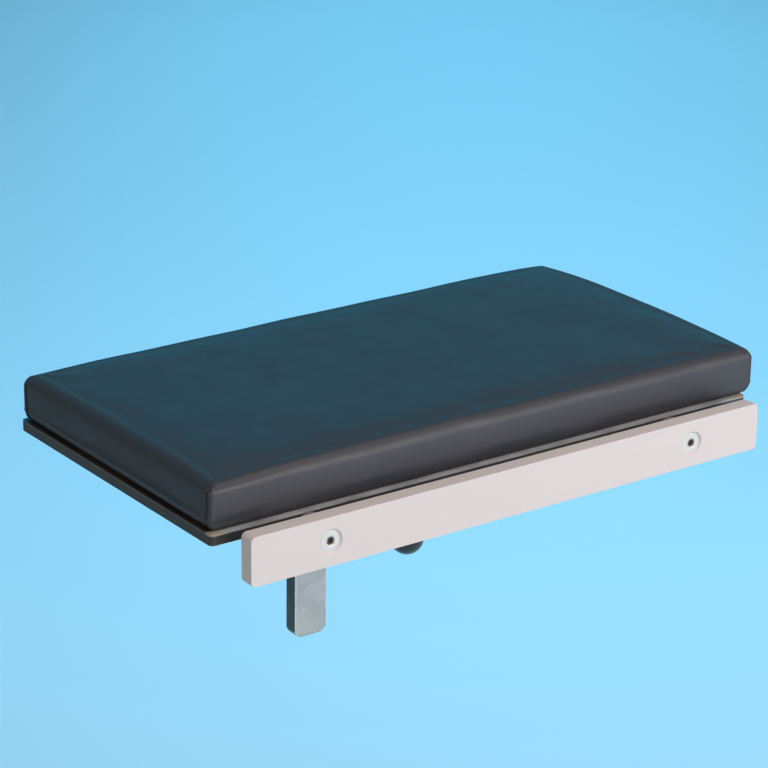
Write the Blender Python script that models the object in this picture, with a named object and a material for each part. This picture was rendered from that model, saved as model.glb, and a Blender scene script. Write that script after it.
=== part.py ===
"""Padded side extension for a treatment table, with its own accessory rail and a quarter-turn clamp.

Metres, +Z up. The origin is the middle of the clamp seat, the face that meets the outer face of the
table's side rail. +X runs along that rail, +Y points into the table, and z = 0 is its mid-height.
"""

import math

import bmesh
import bpy
from mathutils import Vector

# Clearances
GAP = 0.0003  # between pieces that touch on the real object
RUNNING_GAP = 0.0001  # radial clearance of the turning shaft in its bushes, at the corners of both
CUT_PAST = 0.001  # how far a cutter runs on past the face it opens

# Standard side rail, used twice: the table's own, which the clamp grips, and the extension's
RAIL_HEIGHT = 0.028575
RAIL_THICKNESS = 0.009525
RAIL_LENGTH = 0.3556
RAIL_CORNER = 0.003
RAIL_EDGE = 0.0008

# Where the extension's rail stands
RAIL_FRONT_Y = -0.2054
RAIL_CENTRE_Z = 0.0190
RAIL_SCREW_X = 0.127
RAIL_STANDOFF = 0.0127
SPACER_RADIUS = 0.0095

# Rail screws: flat head, hex socket
RAIL_SCREW_SHANK = 0.0030
RAIL_SCREW_HEAD = 0.0060
RAIL_SCREW_SINK = 0.0011
RAIL_SCREW_SOCKET = 0.00231
RAIL_SCREW_SHORT = 0.0008  # its point stops this far inside the plate's back
COUNTERSINK_RADIUS = 0.00735

# Board
BOARD_LENGTH = 0.377
BOARD_DEPTH = 0.2032
BOARD_THICKNESS = 0.00635
BOARD_TOP_Z = 0.02905
BOARD_CORNER = 0.003
BOARD_EDGE = 0.0008
BOARD_FRONT_Y = RAIL_FRONT_Y + RAIL_THICKNESS + RAIL_STANDOFF
BOARD_BACK_Y = BOARD_FRONT_Y + BOARD_DEPTH
BOARD_BOTTOM_Z = BOARD_TOP_Z - BOARD_THICKNESS

# Flat steel bar: arms, drop leg and end plate
BAR_WIDTH = 0.0206
BAR_THICKNESS = 0.0079
BAR_EDGE = 0.0006
ARM_TOP_Z = BOARD_BOTTOM_Z - GAP
ARM_BOTTOM_Z = ARM_TOP_Z - BAR_THICKNESS
ARM_BACK_Y = 0.0184
PLATE_THICKNESS = 0.0092
PLATE_BACK_Y = BOARD_FRONT_Y + PLATE_THICKNESS
PLATE_TOP_Z = 0.0258
DROP_LEG_BOTTOM_Z = -0.0448
DROP_LEG_SHIFT = 0.0022  # how far inboard of its screw it hangs
DROP_LEG_CORNER = 0.005
END_PLATE_BOTTOM_Z = 0.0070
END_PLATE_CORNER = 0.002

# Hooks behind the table's rail, and bearing blocks in front of it
HOOK_PLAY = 0.0008  # how much deeper the slot is than the rail is thick
HOOK_FRONT_Y = RAIL_THICKNESS + HOOK_PLAY
HOOK_BOTTOM_Z = 0.0020
HOOK_SCREW_SHANK = 0.0018
HOOK_SCREW_HEAD = 0.0032
HOOK_SCREW_HEAD_HEIGHT = 0.0030
PAD_THICKNESS = 0.0015
PAD_INSET = 0.001  # from each side of its bearing block
BEARING_FRONT_Y = -0.0145
BEARING_BACK_Y = -PAD_THICKNESS - GAP
BEARING_WIDTH = 0.024
BEARING_BOTTOM_Z = -0.0140
BEARING_SCREW_SHANK = 0.0020
BEARING_SCREW_HEAD = 0.0035
BEARING_SCREW_HEAD_HEIGHT = 0.0036
BEARING_PAD_HALF_HEIGHT = 0.0130
BLOCK_SCREW_BITE = 0.0055  # how far both kinds of block screw reach into the arm
BLOCK_SCREW_HOLE = 0.0060  # and how deep their holes in the arm are

# Board screws: flat head, hex socket
BOARD_SCREW_SHANK = 0.0024
BOARD_SCREW_HEAD = 0.0046
BOARD_SCREW_LENGTH = 0.0125
BOARD_SCREW_SOCKET = 0.0018
ARM_SCREW_Y = (-0.1550, -0.0925, -0.0300)
CLAMP_SCREW_X = 0.017
CLAMP_SCREW_Y = (-0.0315, -0.0085)

# Quarter-turn clamp under the middle of the board
CLAMP_AXIS_Y = -0.0150
CLAMP_HALF_WIDTH = 0.024
CLAMP_FRONT_Y = -0.0380
CLAMP_BOTTOM_Z = -0.0125
CLAMP_TOP_Z = ARM_TOP_Z
CLAMP_EDGE = 0.001
SEAT_HALF_WIDTH = 0.022
SEAT_HALF_HEIGHT = 0.012
SHAFT_RADIUS = 0.0060
SHAFT_END = 0.0006
BUSH_RADIUS = 0.0080
BUSH_FLANGE_RADIUS = 0.0110
BUSH_FLANGE = 0.0015
LOWER_BUSH_TOP_Z = -0.0030
UPPER_BUSH_BOTTOM_Z = -0.0020
WELL_RADIUS = 0.0115
WELL_FLOOR_Z = 0.0065
SPRING_MEAN_RADIUS = 0.0087
SPRING_WIRE_RADIUS = 0.0009
SPRING_TURNS = 4
WASHER_BOTTOM_Z = 0.0158
WASHER_RADIUS = 0.0108
NUT_BOTTOM_Z = 0.0176
NUT_TOP_Z = 0.0216
NUT_CORNER_RADIUS = 0.0092
SHAFT_TOP_Z = 0.0219
TOE_TOP_Z = CLAMP_BOTTOM_Z - 2 * GAP - BUSH_FLANGE
TOE_THICKNESS = 0.0080
TOE_HUB_RADIUS = 0.0110
TOE_TIP_Y = 0.0070
TOE_TIP_HALF_WIDTH = 0.0090
TOE_TIP_CORNER = 0.0030
HUB_TOP_Z = TOE_TOP_Z - TOE_THICKNESS - GAP
HUB_BOTTOM_Z = -0.0396
HUB_RADIUS = 0.0110
HUB_EDGE = 0.0010
SHAFT_BOTTOM_Z = -0.0367
PIN_RADIUS = 0.0020
PIN_SHORT = 0.0005  # each end stops this far inside the hub's side
PIN_Z = -0.0268

# Lever, pointing forward when the clamp is shut
LEVER_ROOT = Vector((0.0, CLAMP_AXIS_Y, -0.0285))
KNOB_CENTRE = Vector((0.0, -0.1010, -0.0470))
LEVER_TONGUE_Y = -0.0360
LEVER_TONGUE_HALF_WIDTH = 0.0070
LEVER_ROD_RADIUS = 0.0040
LEVER_ROD_START = 0.0085
LEVER_HOLE_PAST = 0.004  # enough to clear the tongue's end, which the rod meets at a slant
KNOB_RADIUS = 0.0104
KNOB_FLAT = 0.0090
KNOB_HOLE_DEPTH = 0.0072

# Hook-and-loop strips between the board and the cushion
STRIP_LENGTH = 0.300
STRIP_WIDTH = 0.038
STRIP_THICKNESS = 0.0007
STRIP_Y = (-0.1300, -0.0300)

# Cushion
CUSHION_LEFT_X = -0.1868
CUSHION_RIGHT_X = 0.1932
CUSHION_FRONT_Y = -0.1785
CUSHION_BACK_Y = 0.0195
CUSHION_BOTTOM_Z = 0.0300
CUSHION_SHOULDER_Z = 0.0560
CUSHION_CROWN = 0.0030
CROWN_STEPS = ((0.010, 0.40), (0.035, 0.80), (0.070, 1.0))  # (distance from the edge, share of the crown)
CUSHION_CORNER = 0.0035
CUSHION_EDGE = 0.0045
CUSHION_FOOT = 0.0015  # how far the wall is drawn in at the bottom
COVER_THICKNESS = 0.0010
COVER_TURN_UNDER = 0.022
STIFFENER_THICKNESS = 0.0030

# Proportions of every screw
SCREW_TIP = 0.4  # chamfer at the point, as a share of the shank's radius
FLAT_HEAD_SOCKET_DEPTH = 0.9  # as a share of the cone's depth
CAP_SOCKET_WIDTH = 0.8  # as a share of the shank's radius
CAP_SOCKET_DEPTH = 0.6  # as a share of the head's height

# Roundness
FINE = 24
COARSE = 14
PIN_SIDES = 12

X_AXIS = Vector((1, 0, 0))
Y_AXIS = Vector((0, 1, 0))
Z_AXIS = Vector((0, 0, 1))
SIDES = (("left", -1), ("right", 1))


# ---------------------------------------------------------------- scene and materials


def clear_scene():
    for old in list(bpy.data.objects):
        bpy.data.objects.remove(old, do_unlink=True)


def material(name, colour, roughness, metallic=0.0):
    made = bpy.data.materials.new(name)
    made.use_nodes = True
    shader = made.node_tree.nodes["Principled BSDF"]
    shader.inputs["Base Color"].default_value = (*colour, 1.0)
    shader.inputs["Roughness"].default_value = roughness
    shader.inputs["Metallic"].default_value = metallic
    return made


def make_materials():
    return {
        "rail": material("satin_anodised_rail", (0.72, 0.65, 0.63), 0.55, 0.3),
        "bright": material("bright_screw_steel", (0.75, 0.75, 0.72), 0.3, 1.0),
        "zinc": material("dull_zinc_bar", (0.38, 0.42, 0.44), 0.5, 0.8),
        "board": material("phenolic_board", (0.035, 0.028, 0.022), 0.45),
        "steel": material("clamp_steel", (0.30, 0.32, 0.34), 0.4, 1.0),
        "bronze": material("bush_bronze", (0.42, 0.27, 0.10), 0.4, 1.0),
        "nylon": material("wear_pad_nylon", (0.55, 0.55, 0.52), 0.6),
        "phenolic_knob": material("black_knob", (0.012, 0.014, 0.016), 0.2),
        "strip": material("hook_and_loop", (0.015, 0.015, 0.016), 0.95),
        "vinyl": material("black_vinyl", (0.022, 0.030, 0.036), 0.42),
        "foam": material("cushion_foam", (0.55, 0.50, 0.33), 0.95),
        "ply": material("stiffener_board", (0.30, 0.20, 0.11), 0.8),
    }


# ---------------------------------------------------------------- modelling helpers


def finish_mesh(name, shape, finish, smooth=False):
    """Turns a bmesh into a named object with its faces pointing out."""
    bmesh.ops.recalc_face_normals(shape, faces=shape.faces[:])
    mesh = bpy.data.meshes.new(name)
    shape.to_mesh(mesh)
    shape.free()
    made = bpy.data.objects.new(name, mesh)
    bpy.context.collection.objects.link(made)
    if finish is not None:
        mesh.materials.append(finish)
    if smooth:
        mesh.shade_smooth()
        mesh.set_sharp_from_angle(angle=math.radians(35))
    return made


def chamfer(piece, width, angle=60):
    """Takes the sharp arris off every edge that turns by more than the angle, in degrees."""
    modifier = piece.modifiers.new("edge", "BEVEL")
    modifier.width = width
    modifier.segments = 1
    modifier.limit_method = "ANGLE"
    modifier.angle_limit = math.radians(angle)
    return piece


def arc(centre, radius, start, end, steps):
    """Points on an arc, both ends included. Angles in degrees."""
    angles = [math.radians(start + (end - start) * i / steps) for i in range(steps + 1)]
    return [(centre[0] + radius * math.cos(a), centre[1] + radius * math.sin(a)) for a in angles]


def rounded_rectangle(low, high, radius, steps=4):
    """An outline between two corners, anticlockwise from its lower right corner."""
    (left, bottom), (right, top) = low, high
    corners = (
        ((right - radius, bottom + radius), -90),
        ((right - radius, top - radius), 0),
        ((left + radius, top - radius), 90),
        ((left + radius, bottom + radius), 180),
    )
    points = []
    for centre, start in corners:
        points += arc(centre, radius, start, start + 90, steps)
    return points


def prism(name, outline, plane, low, high, finish):
    """An outline pushed from low to high. plane names its two directions; it is pushed along the third."""
    place = {
        "XY": lambda a, b, c: (a, b, c),
        "XZ": lambda a, b, c: (a, c, b),
        "YZ": lambda a, b, c: (c, a, b),
    }[plane]
    shape = bmesh.new()
    rings = [[shape.verts.new(place(a, b, level)) for a, b in outline] for level in (low, high)]
    for i in range(len(outline)):
        j = (i + 1) % len(outline)
        shape.faces.new((rings[0][i], rings[0][j], rings[1][j], rings[1][i]))
    for ring in rings:
        shape.faces.new(ring)
    return finish_mesh(name, shape, finish)


def block(name, low, high, finish, edge=0.0):
    """A box between two corners, with its edges chamfered where an edge width is given."""
    outline = [(low[0], low[1]), (high[0], low[1]), (high[0], high[1]), (low[0], high[1])]
    made = prism(name, outline, "XY", low[2], high[2], finish)
    return chamfer(made, edge) if edge else made


def turned(name, profile, base, axis, finish, segments=FINE):
    """A turned piece from (radius, distance along axis) pairs. An open profile starts and ends on the axis."""
    axis = axis.normalized()
    side = axis.orthogonal().normalized()
    other = axis.cross(side)
    shape = bmesh.new()
    rings = []
    for radius, along in profile:
        centre = base + axis * along
        if radius == 0:
            rings.append([shape.verts.new(centre)])
            continue
        angles = [2 * math.pi * (i + 0.5) / segments for i in range(segments)]
        spokes = [side * math.cos(a) + other * math.sin(a) for a in angles]
        rings.append([shape.verts.new(centre + spoke * radius) for spoke in spokes])
    pairs = list(zip(rings, rings[1:]))
    if profile[0][0] > 0:
        pairs.append((rings[-1], rings[0]))
    for first, second in pairs:
        for i in range(segments):
            j = (i + 1) % segments
            corners = [first[i % len(first)], first[j % len(first)]]
            corners += [second[j % len(second)], second[i % len(second)]]
            corners = list(dict.fromkeys(corners))
            if len(corners) > 2:
                shape.faces.new(corners)
    return finish_mesh(name, shape, finish, smooth=True)


def cut(piece, cutter):
    """Takes the cutter's shape out of a piece. The cutter stays as a guide and isn't part of the object."""
    cutter.hide_render = True
    cutter.display_type = "WIRE"
    modifier = piece.modifiers.new("cut", "BOOLEAN")
    modifier.operation = "DIFFERENCE"
    modifier.solver = "EXACT"
    modifier.object = cutter


def drill(piece, profile, base, axis, segments=COARSE):
    """Cuts a turned hole, whose profile is given as for turned()."""
    cut(piece, turned("cutter_" + piece.name, profile, base, axis, None, segments))


def plain_hole(piece, radius, base, axis, start, end, segments=COARSE):
    drill(piece, [(0, start), (radius, start), (radius, end), (0, end)], base, axis, segments)


# ---------------------------------------------------------------- screws


def flat_head_screw(name, base, axis, head, shank, length, socket, finish):
    """A countersunk screw whose flat top is at base and whose point is at base + axis * length."""
    cone = head - shank
    tip = shank * SCREW_TIP
    profile = [(0, 0), (head, 0), (shank, cone), (shank, length - tip), (shank - tip, length), (0, length)]
    made = turned(name, profile, base, axis, finish, COARSE)
    plain_hole(made, socket, base, axis, -CUT_PAST, cone * FLAT_HEAD_SOCKET_DEPTH, 6)


def countersunk_hole(piece, base, axis, mouth, sink, bore, end):
    """The hole for a flat head screw: a 90 degree cone from the face at base, then a plain bore to end."""
    profile = [(0, -CUT_PAST), (mouth + CUT_PAST, -CUT_PAST), (bore, mouth - bore), (bore, end), (0, end)]
    drill(piece, profile, base + axis * sink, axis)


def cap_screw(name, base, axis, head, shank, head_height, length, finish):
    """A socket cap screw. base is the top of its head; it points along axis."""
    tip = shank * SCREW_TIP
    profile = [(0, 0), (head, 0), (head, head_height), (shank, head_height)]
    profile += [(shank, length - tip), (shank - tip, length), (0, length)]
    made = turned(name, profile, base, axis, finish, COARSE)
    socket = shank * CAP_SOCKET_WIDTH
    plain_hole(made, socket, base, axis, -CUT_PAST, head_height * CAP_SOCKET_DEPTH, 6)


# ---------------------------------------------------------------- rail, board and bars


def make_side_rail(finish):
    half = RAIL_LENGTH / 2
    low = (-half, RAIL_CENTRE_Z - RAIL_HEIGHT / 2)
    high = (half, RAIL_CENTRE_Z + RAIL_HEIGHT / 2)
    outline = rounded_rectangle(low, high, RAIL_CORNER, 6)
    rail = prism("side_rail", outline, "XZ", RAIL_FRONT_Y, RAIL_FRONT_Y + RAIL_THICKNESS, finish["rail"])
    chamfer(rail, RAIL_EDGE)
    bore = RAIL_SCREW_SHANK + GAP
    for name, side in SIDES:
        centre = Vector((side * RAIL_SCREW_X, RAIL_FRONT_Y, RAIL_CENTRE_Z))
        countersunk_hole(rail, centre, Y_AXIS, COUNTERSINK_RADIUS, 0, bore, RAIL_THICKNESS + CUT_PAST)


def make_rail_fixings(finish):
    spacer_start = RAIL_FRONT_Y + RAIL_THICKNESS + GAP
    spacer_length = RAIL_STANDOFF - 2 * GAP
    bore = RAIL_SCREW_SHANK + GAP
    chamfered = SPACER_RADIUS - BAR_EDGE
    spacer = [(bore, 0), (chamfered, 0), (SPACER_RADIUS, BAR_EDGE), (SPACER_RADIUS, spacer_length - BAR_EDGE)]
    spacer += [(chamfered, spacer_length), (bore, spacer_length)]
    plate_back = RAIL_THICKNESS + RAIL_STANDOFF + PLATE_THICKNESS
    screw_length = plate_back - RAIL_SCREW_SINK - RAIL_SCREW_SHORT
    for name, side in SIDES:
        base = Vector((side * RAIL_SCREW_X, spacer_start, RAIL_CENTRE_Z))
        turned("rail_spacer_" + name, spacer, base, Y_AXIS, finish["zinc"])
        base = Vector((side * RAIL_SCREW_X, RAIL_FRONT_Y + RAIL_SCREW_SINK, RAIL_CENTRE_Z))
        flat_head_screw(
            "rail_screw_" + name,
            base,
            Y_AXIS,
            RAIL_SCREW_HEAD,
            RAIL_SCREW_SHANK,
            screw_length,
            RAIL_SCREW_SOCKET,
            finish["bright"],
        )


def board_screw_places():
    """(name, x, y) of every screw that goes down through the board."""
    places = []
    for side_name, side in SIDES:
        for number, y in enumerate(ARM_SCREW_Y, 1):
            places.append((f"arm_screw_{side_name}_{number}", side * RAIL_SCREW_X, y))
    for side_name, side in SIDES:
        for number, y in enumerate(CLAMP_SCREW_Y, 1):
            places.append((f"clamp_screw_{side_name}_{number}", side * CLAMP_SCREW_X, y))
    return places


def make_base_board(finish):
    half = BOARD_LENGTH / 2
    outline = rounded_rectangle((-half, BOARD_FRONT_Y), (half, BOARD_BACK_Y), BOARD_CORNER, 4)
    board = prism("base_board", outline, "XY", BOARD_BOTTOM_Z, BOARD_TOP_Z, finish["board"])
    chamfer(board, BOARD_EDGE)
    mouth = BOARD_SCREW_HEAD + GAP
    bore = BOARD_SCREW_SHANK + GAP
    for _, x, y in board_screw_places():
        top = Vector((x, y, BOARD_TOP_Z))
        countersunk_hole(board, top, -Z_AXIS, mouth, GAP, bore, BOARD_THICKNESS + CUT_PAST)
    for _, side in SIDES:
        reach = BAR_WIDTH / 2 + GAP
        centre = plate_centre(side)
        low = (centre - reach, BOARD_FRONT_Y - CUT_PAST, BOARD_BOTTOM_Z - CUT_PAST)
        high = (centre + reach, PLATE_BACK_Y + GAP, PLATE_TOP_Z + GAP)
        cut(board, block("cutter_board_pocket", low, high, None))


def make_board_screws(finish):
    for name, x, y in board_screw_places():
        base = Vector((x, y, BOARD_TOP_Z - GAP))
        flat_head_screw(
            name,
            base,
            -Z_AXIS,
            BOARD_SCREW_HEAD,
            BOARD_SCREW_SHANK,
            BOARD_SCREW_LENGTH,
            BOARD_SCREW_SOCKET,
            finish["bright"],
        )


def plate_centre(side):
    """Where the upright bar on a side (-1 or 1) stands along the rail."""
    return side * RAIL_SCREW_X + (DROP_LEG_SHIFT if side < 0 else 0)


def front_plate(name, side, bottom, corner, finish):
    """The upright flat bar that a rail screw threads into, let into the board's underside."""
    centre = plate_centre(side)
    half = BAR_WIDTH / 2
    outline = arc((centre - half + corner, bottom + corner), corner, 180, 270, 4)
    outline += arc((centre + half - corner, bottom + corner), corner, 270, 360, 4)
    outline += [(centre + half, PLATE_TOP_Z), (centre - half, PLATE_TOP_Z)]
    plate = prism(name, outline, "XZ", BOARD_FRONT_Y, PLATE_BACK_Y - GAP, finish)
    chamfer(plate, BAR_EDGE)
    base = Vector((side * RAIL_SCREW_X, BOARD_FRONT_Y, RAIL_CENTRE_Z))
    plain_hole(plate, RAIL_SCREW_SHANK + GAP, base, Y_AXIS, -CUT_PAST, PLATE_THICKNESS + CUT_PAST)


def make_bars(finish):
    front_plate("drop_leg", -1, DROP_LEG_BOTTOM_Z, DROP_LEG_CORNER, finish["zinc"])
    front_plate("end_plate_right", 1, END_PLATE_BOTTOM_Z, END_PLATE_CORNER, finish["zinc"])
    half = BAR_WIDTH / 2
    screw_end = BOARD_SCREW_LENGTH - BOARD_THICKNESS + GAP
    for name, side in SIDES:
        centre = side * RAIL_SCREW_X
        low = (centre - half, PLATE_BACK_Y, ARM_BOTTOM_Z)
        high = (centre + half, ARM_BACK_Y, ARM_TOP_Z)
        arm = block("arm_" + name, low, high, finish["zinc"], BAR_EDGE)
        for y in ARM_SCREW_Y:
            top = Vector((centre, y, ARM_TOP_Z))
            plain_hole(arm, BOARD_SCREW_SHANK + GAP, top, -Z_AXIS, -CUT_PAST, screw_end)
        below = Vector((centre, (HOOK_FRONT_Y + ARM_BACK_Y) / 2, ARM_BOTTOM_Z))
        plain_hole(arm, HOOK_SCREW_SHANK + GAP, below, Z_AXIS, -CUT_PAST, BLOCK_SCREW_HOLE)
        below = Vector((centre, (BEARING_FRONT_Y + BEARING_BACK_Y) / 2, ARM_BOTTOM_Z))
        plain_hole(arm, BEARING_SCREW_SHANK + GAP, below, Z_AXIS, -CUT_PAST, BLOCK_SCREW_HOLE)


# ---------------------------------------------------------------- hooks and bearing blocks


def bottom_screwed_block(kind, side_name, low, high, shank, head, head_height, finish):
    """A block hung under an arm by one cap screw, whose head is sunk into the block's underside."""
    piece = block(f"{kind}_{side_name}", low, high, finish["steel"], BAR_EDGE)
    middle = Vector(((low[0] + high[0]) / 2, (low[1] + high[1]) / 2, low[2]))
    height = high[2] - low[2]
    plain_hole(piece, shank + GAP, middle, Z_AXIS, head_height, height + CUT_PAST)
    plain_hole(piece, head + GAP, middle, Z_AXIS, -CUT_PAST, head_height + 2 * GAP)
    screw = f"{kind}_screw_{side_name}"
    base = middle + Z_AXIS * GAP
    cap_screw(screw, base, Z_AXIS, head, shank, head_height, height + BLOCK_SCREW_BITE, finish["bright"])


def make_rail_hooks(finish):
    half = BAR_WIDTH / 2
    for name, side in SIDES:
        centre = side * RAIL_SCREW_X
        low = (centre - half, HOOK_FRONT_Y, HOOK_BOTTOM_Z)
        high = (centre + half, ARM_BACK_Y, ARM_BOTTOM_Z - GAP)
        screw = (HOOK_SCREW_SHANK, HOOK_SCREW_HEAD, HOOK_SCREW_HEAD_HEIGHT)
        bottom_screwed_block("hook", name, low, high, *screw, finish)


def make_bearings(finish):
    half = BEARING_WIDTH / 2
    for name, side in SIDES:
        centre = side * RAIL_SCREW_X
        low = (centre - half, BEARING_FRONT_Y, BEARING_BOTTOM_Z)
        high = (centre + half, BEARING_BACK_Y, ARM_BOTTOM_Z - GAP)
        screw = (BEARING_SCREW_SHANK, BEARING_SCREW_HEAD, BEARING_SCREW_HEAD_HEIGHT)
        bottom_screwed_block("bearing", name, low, high, *screw, finish)
        pad_low = (centre - half + PAD_INSET, -PAD_THICKNESS, -BEARING_PAD_HALF_HEIGHT)
        pad_high = (centre + half - PAD_INSET, 0, BEARING_PAD_HALF_HEIGHT)
        block("bearing_pad_" + name, pad_low, pad_high, finish["nylon"])


# ---------------------------------------------------------------- quarter-turn clamp


def make_clamp_body(finish):
    low = (-CLAMP_HALF_WIDTH, CLAMP_FRONT_Y, CLAMP_BOTTOM_Z)
    high = (CLAMP_HALF_WIDTH, -PAD_THICKNESS - GAP, CLAMP_TOP_Z)
    body = block("clamp_body", low, high, finish["steel"], CLAMP_EDGE)
    bore = BUSH_RADIUS + GAP
    floor = WELL_FLOOR_Z
    top = CLAMP_TOP_Z + CUT_PAST
    bottom = CLAMP_BOTTOM_Z - CUT_PAST
    well = [(0, bottom), (bore, bottom), (bore, floor), (WELL_RADIUS, floor), (WELL_RADIUS, top), (0, top)]
    drill(body, well, Vector((0, CLAMP_AXIS_Y, 0)), Z_AXIS, FINE)
    screw_end = BOARD_SCREW_LENGTH - BOARD_THICKNESS + GAP
    for _, side in SIDES:
        for y in CLAMP_SCREW_Y:
            base = Vector((side * CLAMP_SCREW_X, y, CLAMP_TOP_Z))
            plain_hole(body, BOARD_SCREW_SHANK + GAP, base, -Z_AXIS, -CUT_PAST, screw_end)
    seat_low = (-SEAT_HALF_WIDTH, -PAD_THICKNESS, -SEAT_HALF_HEIGHT)
    seat_high = (SEAT_HALF_WIDTH, 0, SEAT_HALF_HEIGHT)
    block("clamp_seat", seat_low, seat_high, finish["nylon"])


def flanged_bush(name, flange_z, flange_end, tube_end, finish):
    """A bush whose flange runs from flange_z to flange_end, and its tube on to tube_end."""
    bore = SHAFT_RADIUS + RUNNING_GAP
    profile = [(bore, flange_z), (BUSH_FLANGE_RADIUS, flange_z), (BUSH_FLANGE_RADIUS, flange_end)]
    profile += [(BUSH_RADIUS, flange_end), (BUSH_RADIUS, tube_end), (bore, tube_end)]
    turned(name, profile, Vector((0, CLAMP_AXIS_Y, 0)), Z_AXIS, finish)


def make_spring(finish):
    """The coil between the upper bush and the washer."""
    bottom = WELL_FLOOR_Z + GAP + BUSH_FLANGE + GAP + SPRING_WIRE_RADIUS
    top = WASHER_BOTTOM_Z - GAP - SPRING_WIRE_RADIUS
    steps = SPRING_TURNS * 16
    sides = 5
    shape = bmesh.new()
    rings = []
    for step in range(steps + 1):
        angle = 2 * math.pi * SPRING_TURNS * step / steps
        outward = Vector((math.cos(angle), math.sin(angle), 0))
        height = bottom + (top - bottom) * step / steps
        centre = Vector((0, CLAMP_AXIS_Y, height)) + outward * SPRING_MEAN_RADIUS
        spokes = [2 * math.pi * i / sides for i in range(sides)]
        wire = [outward * math.cos(a) + Z_AXIS * math.sin(a) for a in spokes]
        rings.append([shape.verts.new(centre + spoke * SPRING_WIRE_RADIUS) for spoke in wire])
    for first, second in zip(rings, rings[1:]):
        for i in range(sides):
            j = (i + 1) % sides
            shape.faces.new((first[i], first[j], second[j], second[i]))
    shape.faces.new(rings[0])
    shape.faces.new(rings[-1])
    finish_mesh("clamp_spring", shape, finish, smooth=True)


def make_clamp_shaft(finish):
    axis_base = Vector((0, CLAMP_AXIS_Y, 0))
    bottom = SHAFT_BOTTOM_Z
    top = SHAFT_TOP_Z
    narrow = SHAFT_RADIUS - SHAFT_END
    profile = [(0, bottom), (narrow, bottom), (SHAFT_RADIUS, bottom + SHAFT_END)]
    profile += [(SHAFT_RADIUS, top - SHAFT_END), (narrow, top), (0, top)]
    shaft = turned("clamp_shaft", profile, axis_base, Z_AXIS, finish["bright"])
    pin_base = Vector((0, CLAMP_AXIS_Y, PIN_Z))
    plain_hole(shaft, PIN_RADIUS + GAP, pin_base, X_AXIS, -HUB_RADIUS, HUB_RADIUS, PIN_SIDES)
    clear = SHAFT_RADIUS + GAP
    washer_top = NUT_BOTTOM_Z - GAP
    washer = [(clear, WASHER_BOTTOM_Z), (WASHER_RADIUS, WASHER_BOTTOM_Z), (WASHER_RADIUS, washer_top)]
    washer += [(clear, washer_top)]
    turned("spring_washer", washer, axis_base, Z_AXIS, finish["zinc"])
    corners = [math.radians(60 * i) for i in range(6)]
    radius = NUT_CORNER_RADIUS
    hexagon = [(radius * math.cos(a), CLAMP_AXIS_Y + radius * math.sin(a)) for a in corners]
    nut = prism("shaft_nut", hexagon, "XY", NUT_BOTTOM_Z, NUT_TOP_Z, finish["zinc"])
    plain_hole(nut, clear, axis_base, Z_AXIS, NUT_BOTTOM_Z - CUT_PAST, NUT_TOP_Z + CUT_PAST, FINE)


def make_swing_toe(finish):
    """The toe that the lever swings under the table's rail."""
    tip = TOE_TIP_Y - TOE_TIP_CORNER
    side = TOE_TIP_HALF_WIDTH - TOE_TIP_CORNER
    bottom = TOE_TOP_Z - TOE_THICKNESS
    outline = arc((0, CLAMP_AXIS_Y), TOE_HUB_RADIUS, 145, 395, 16)
    outline += arc((side, tip), TOE_TIP_CORNER, 0, 90, 3)
    outline += arc((-side, tip), TOE_TIP_CORNER, 90, 180, 3)
    toe = prism("swing_toe", outline, "XY", bottom, TOE_TOP_Z, finish["steel"])
    chamfer(toe, BAR_EDGE)
    base = Vector((0, CLAMP_AXIS_Y, 0))
    plain_hole(toe, SHAFT_RADIUS + GAP, base, Z_AXIS, bottom - CUT_PAST, TOE_TOP_Z + CUT_PAST, FINE)


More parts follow.
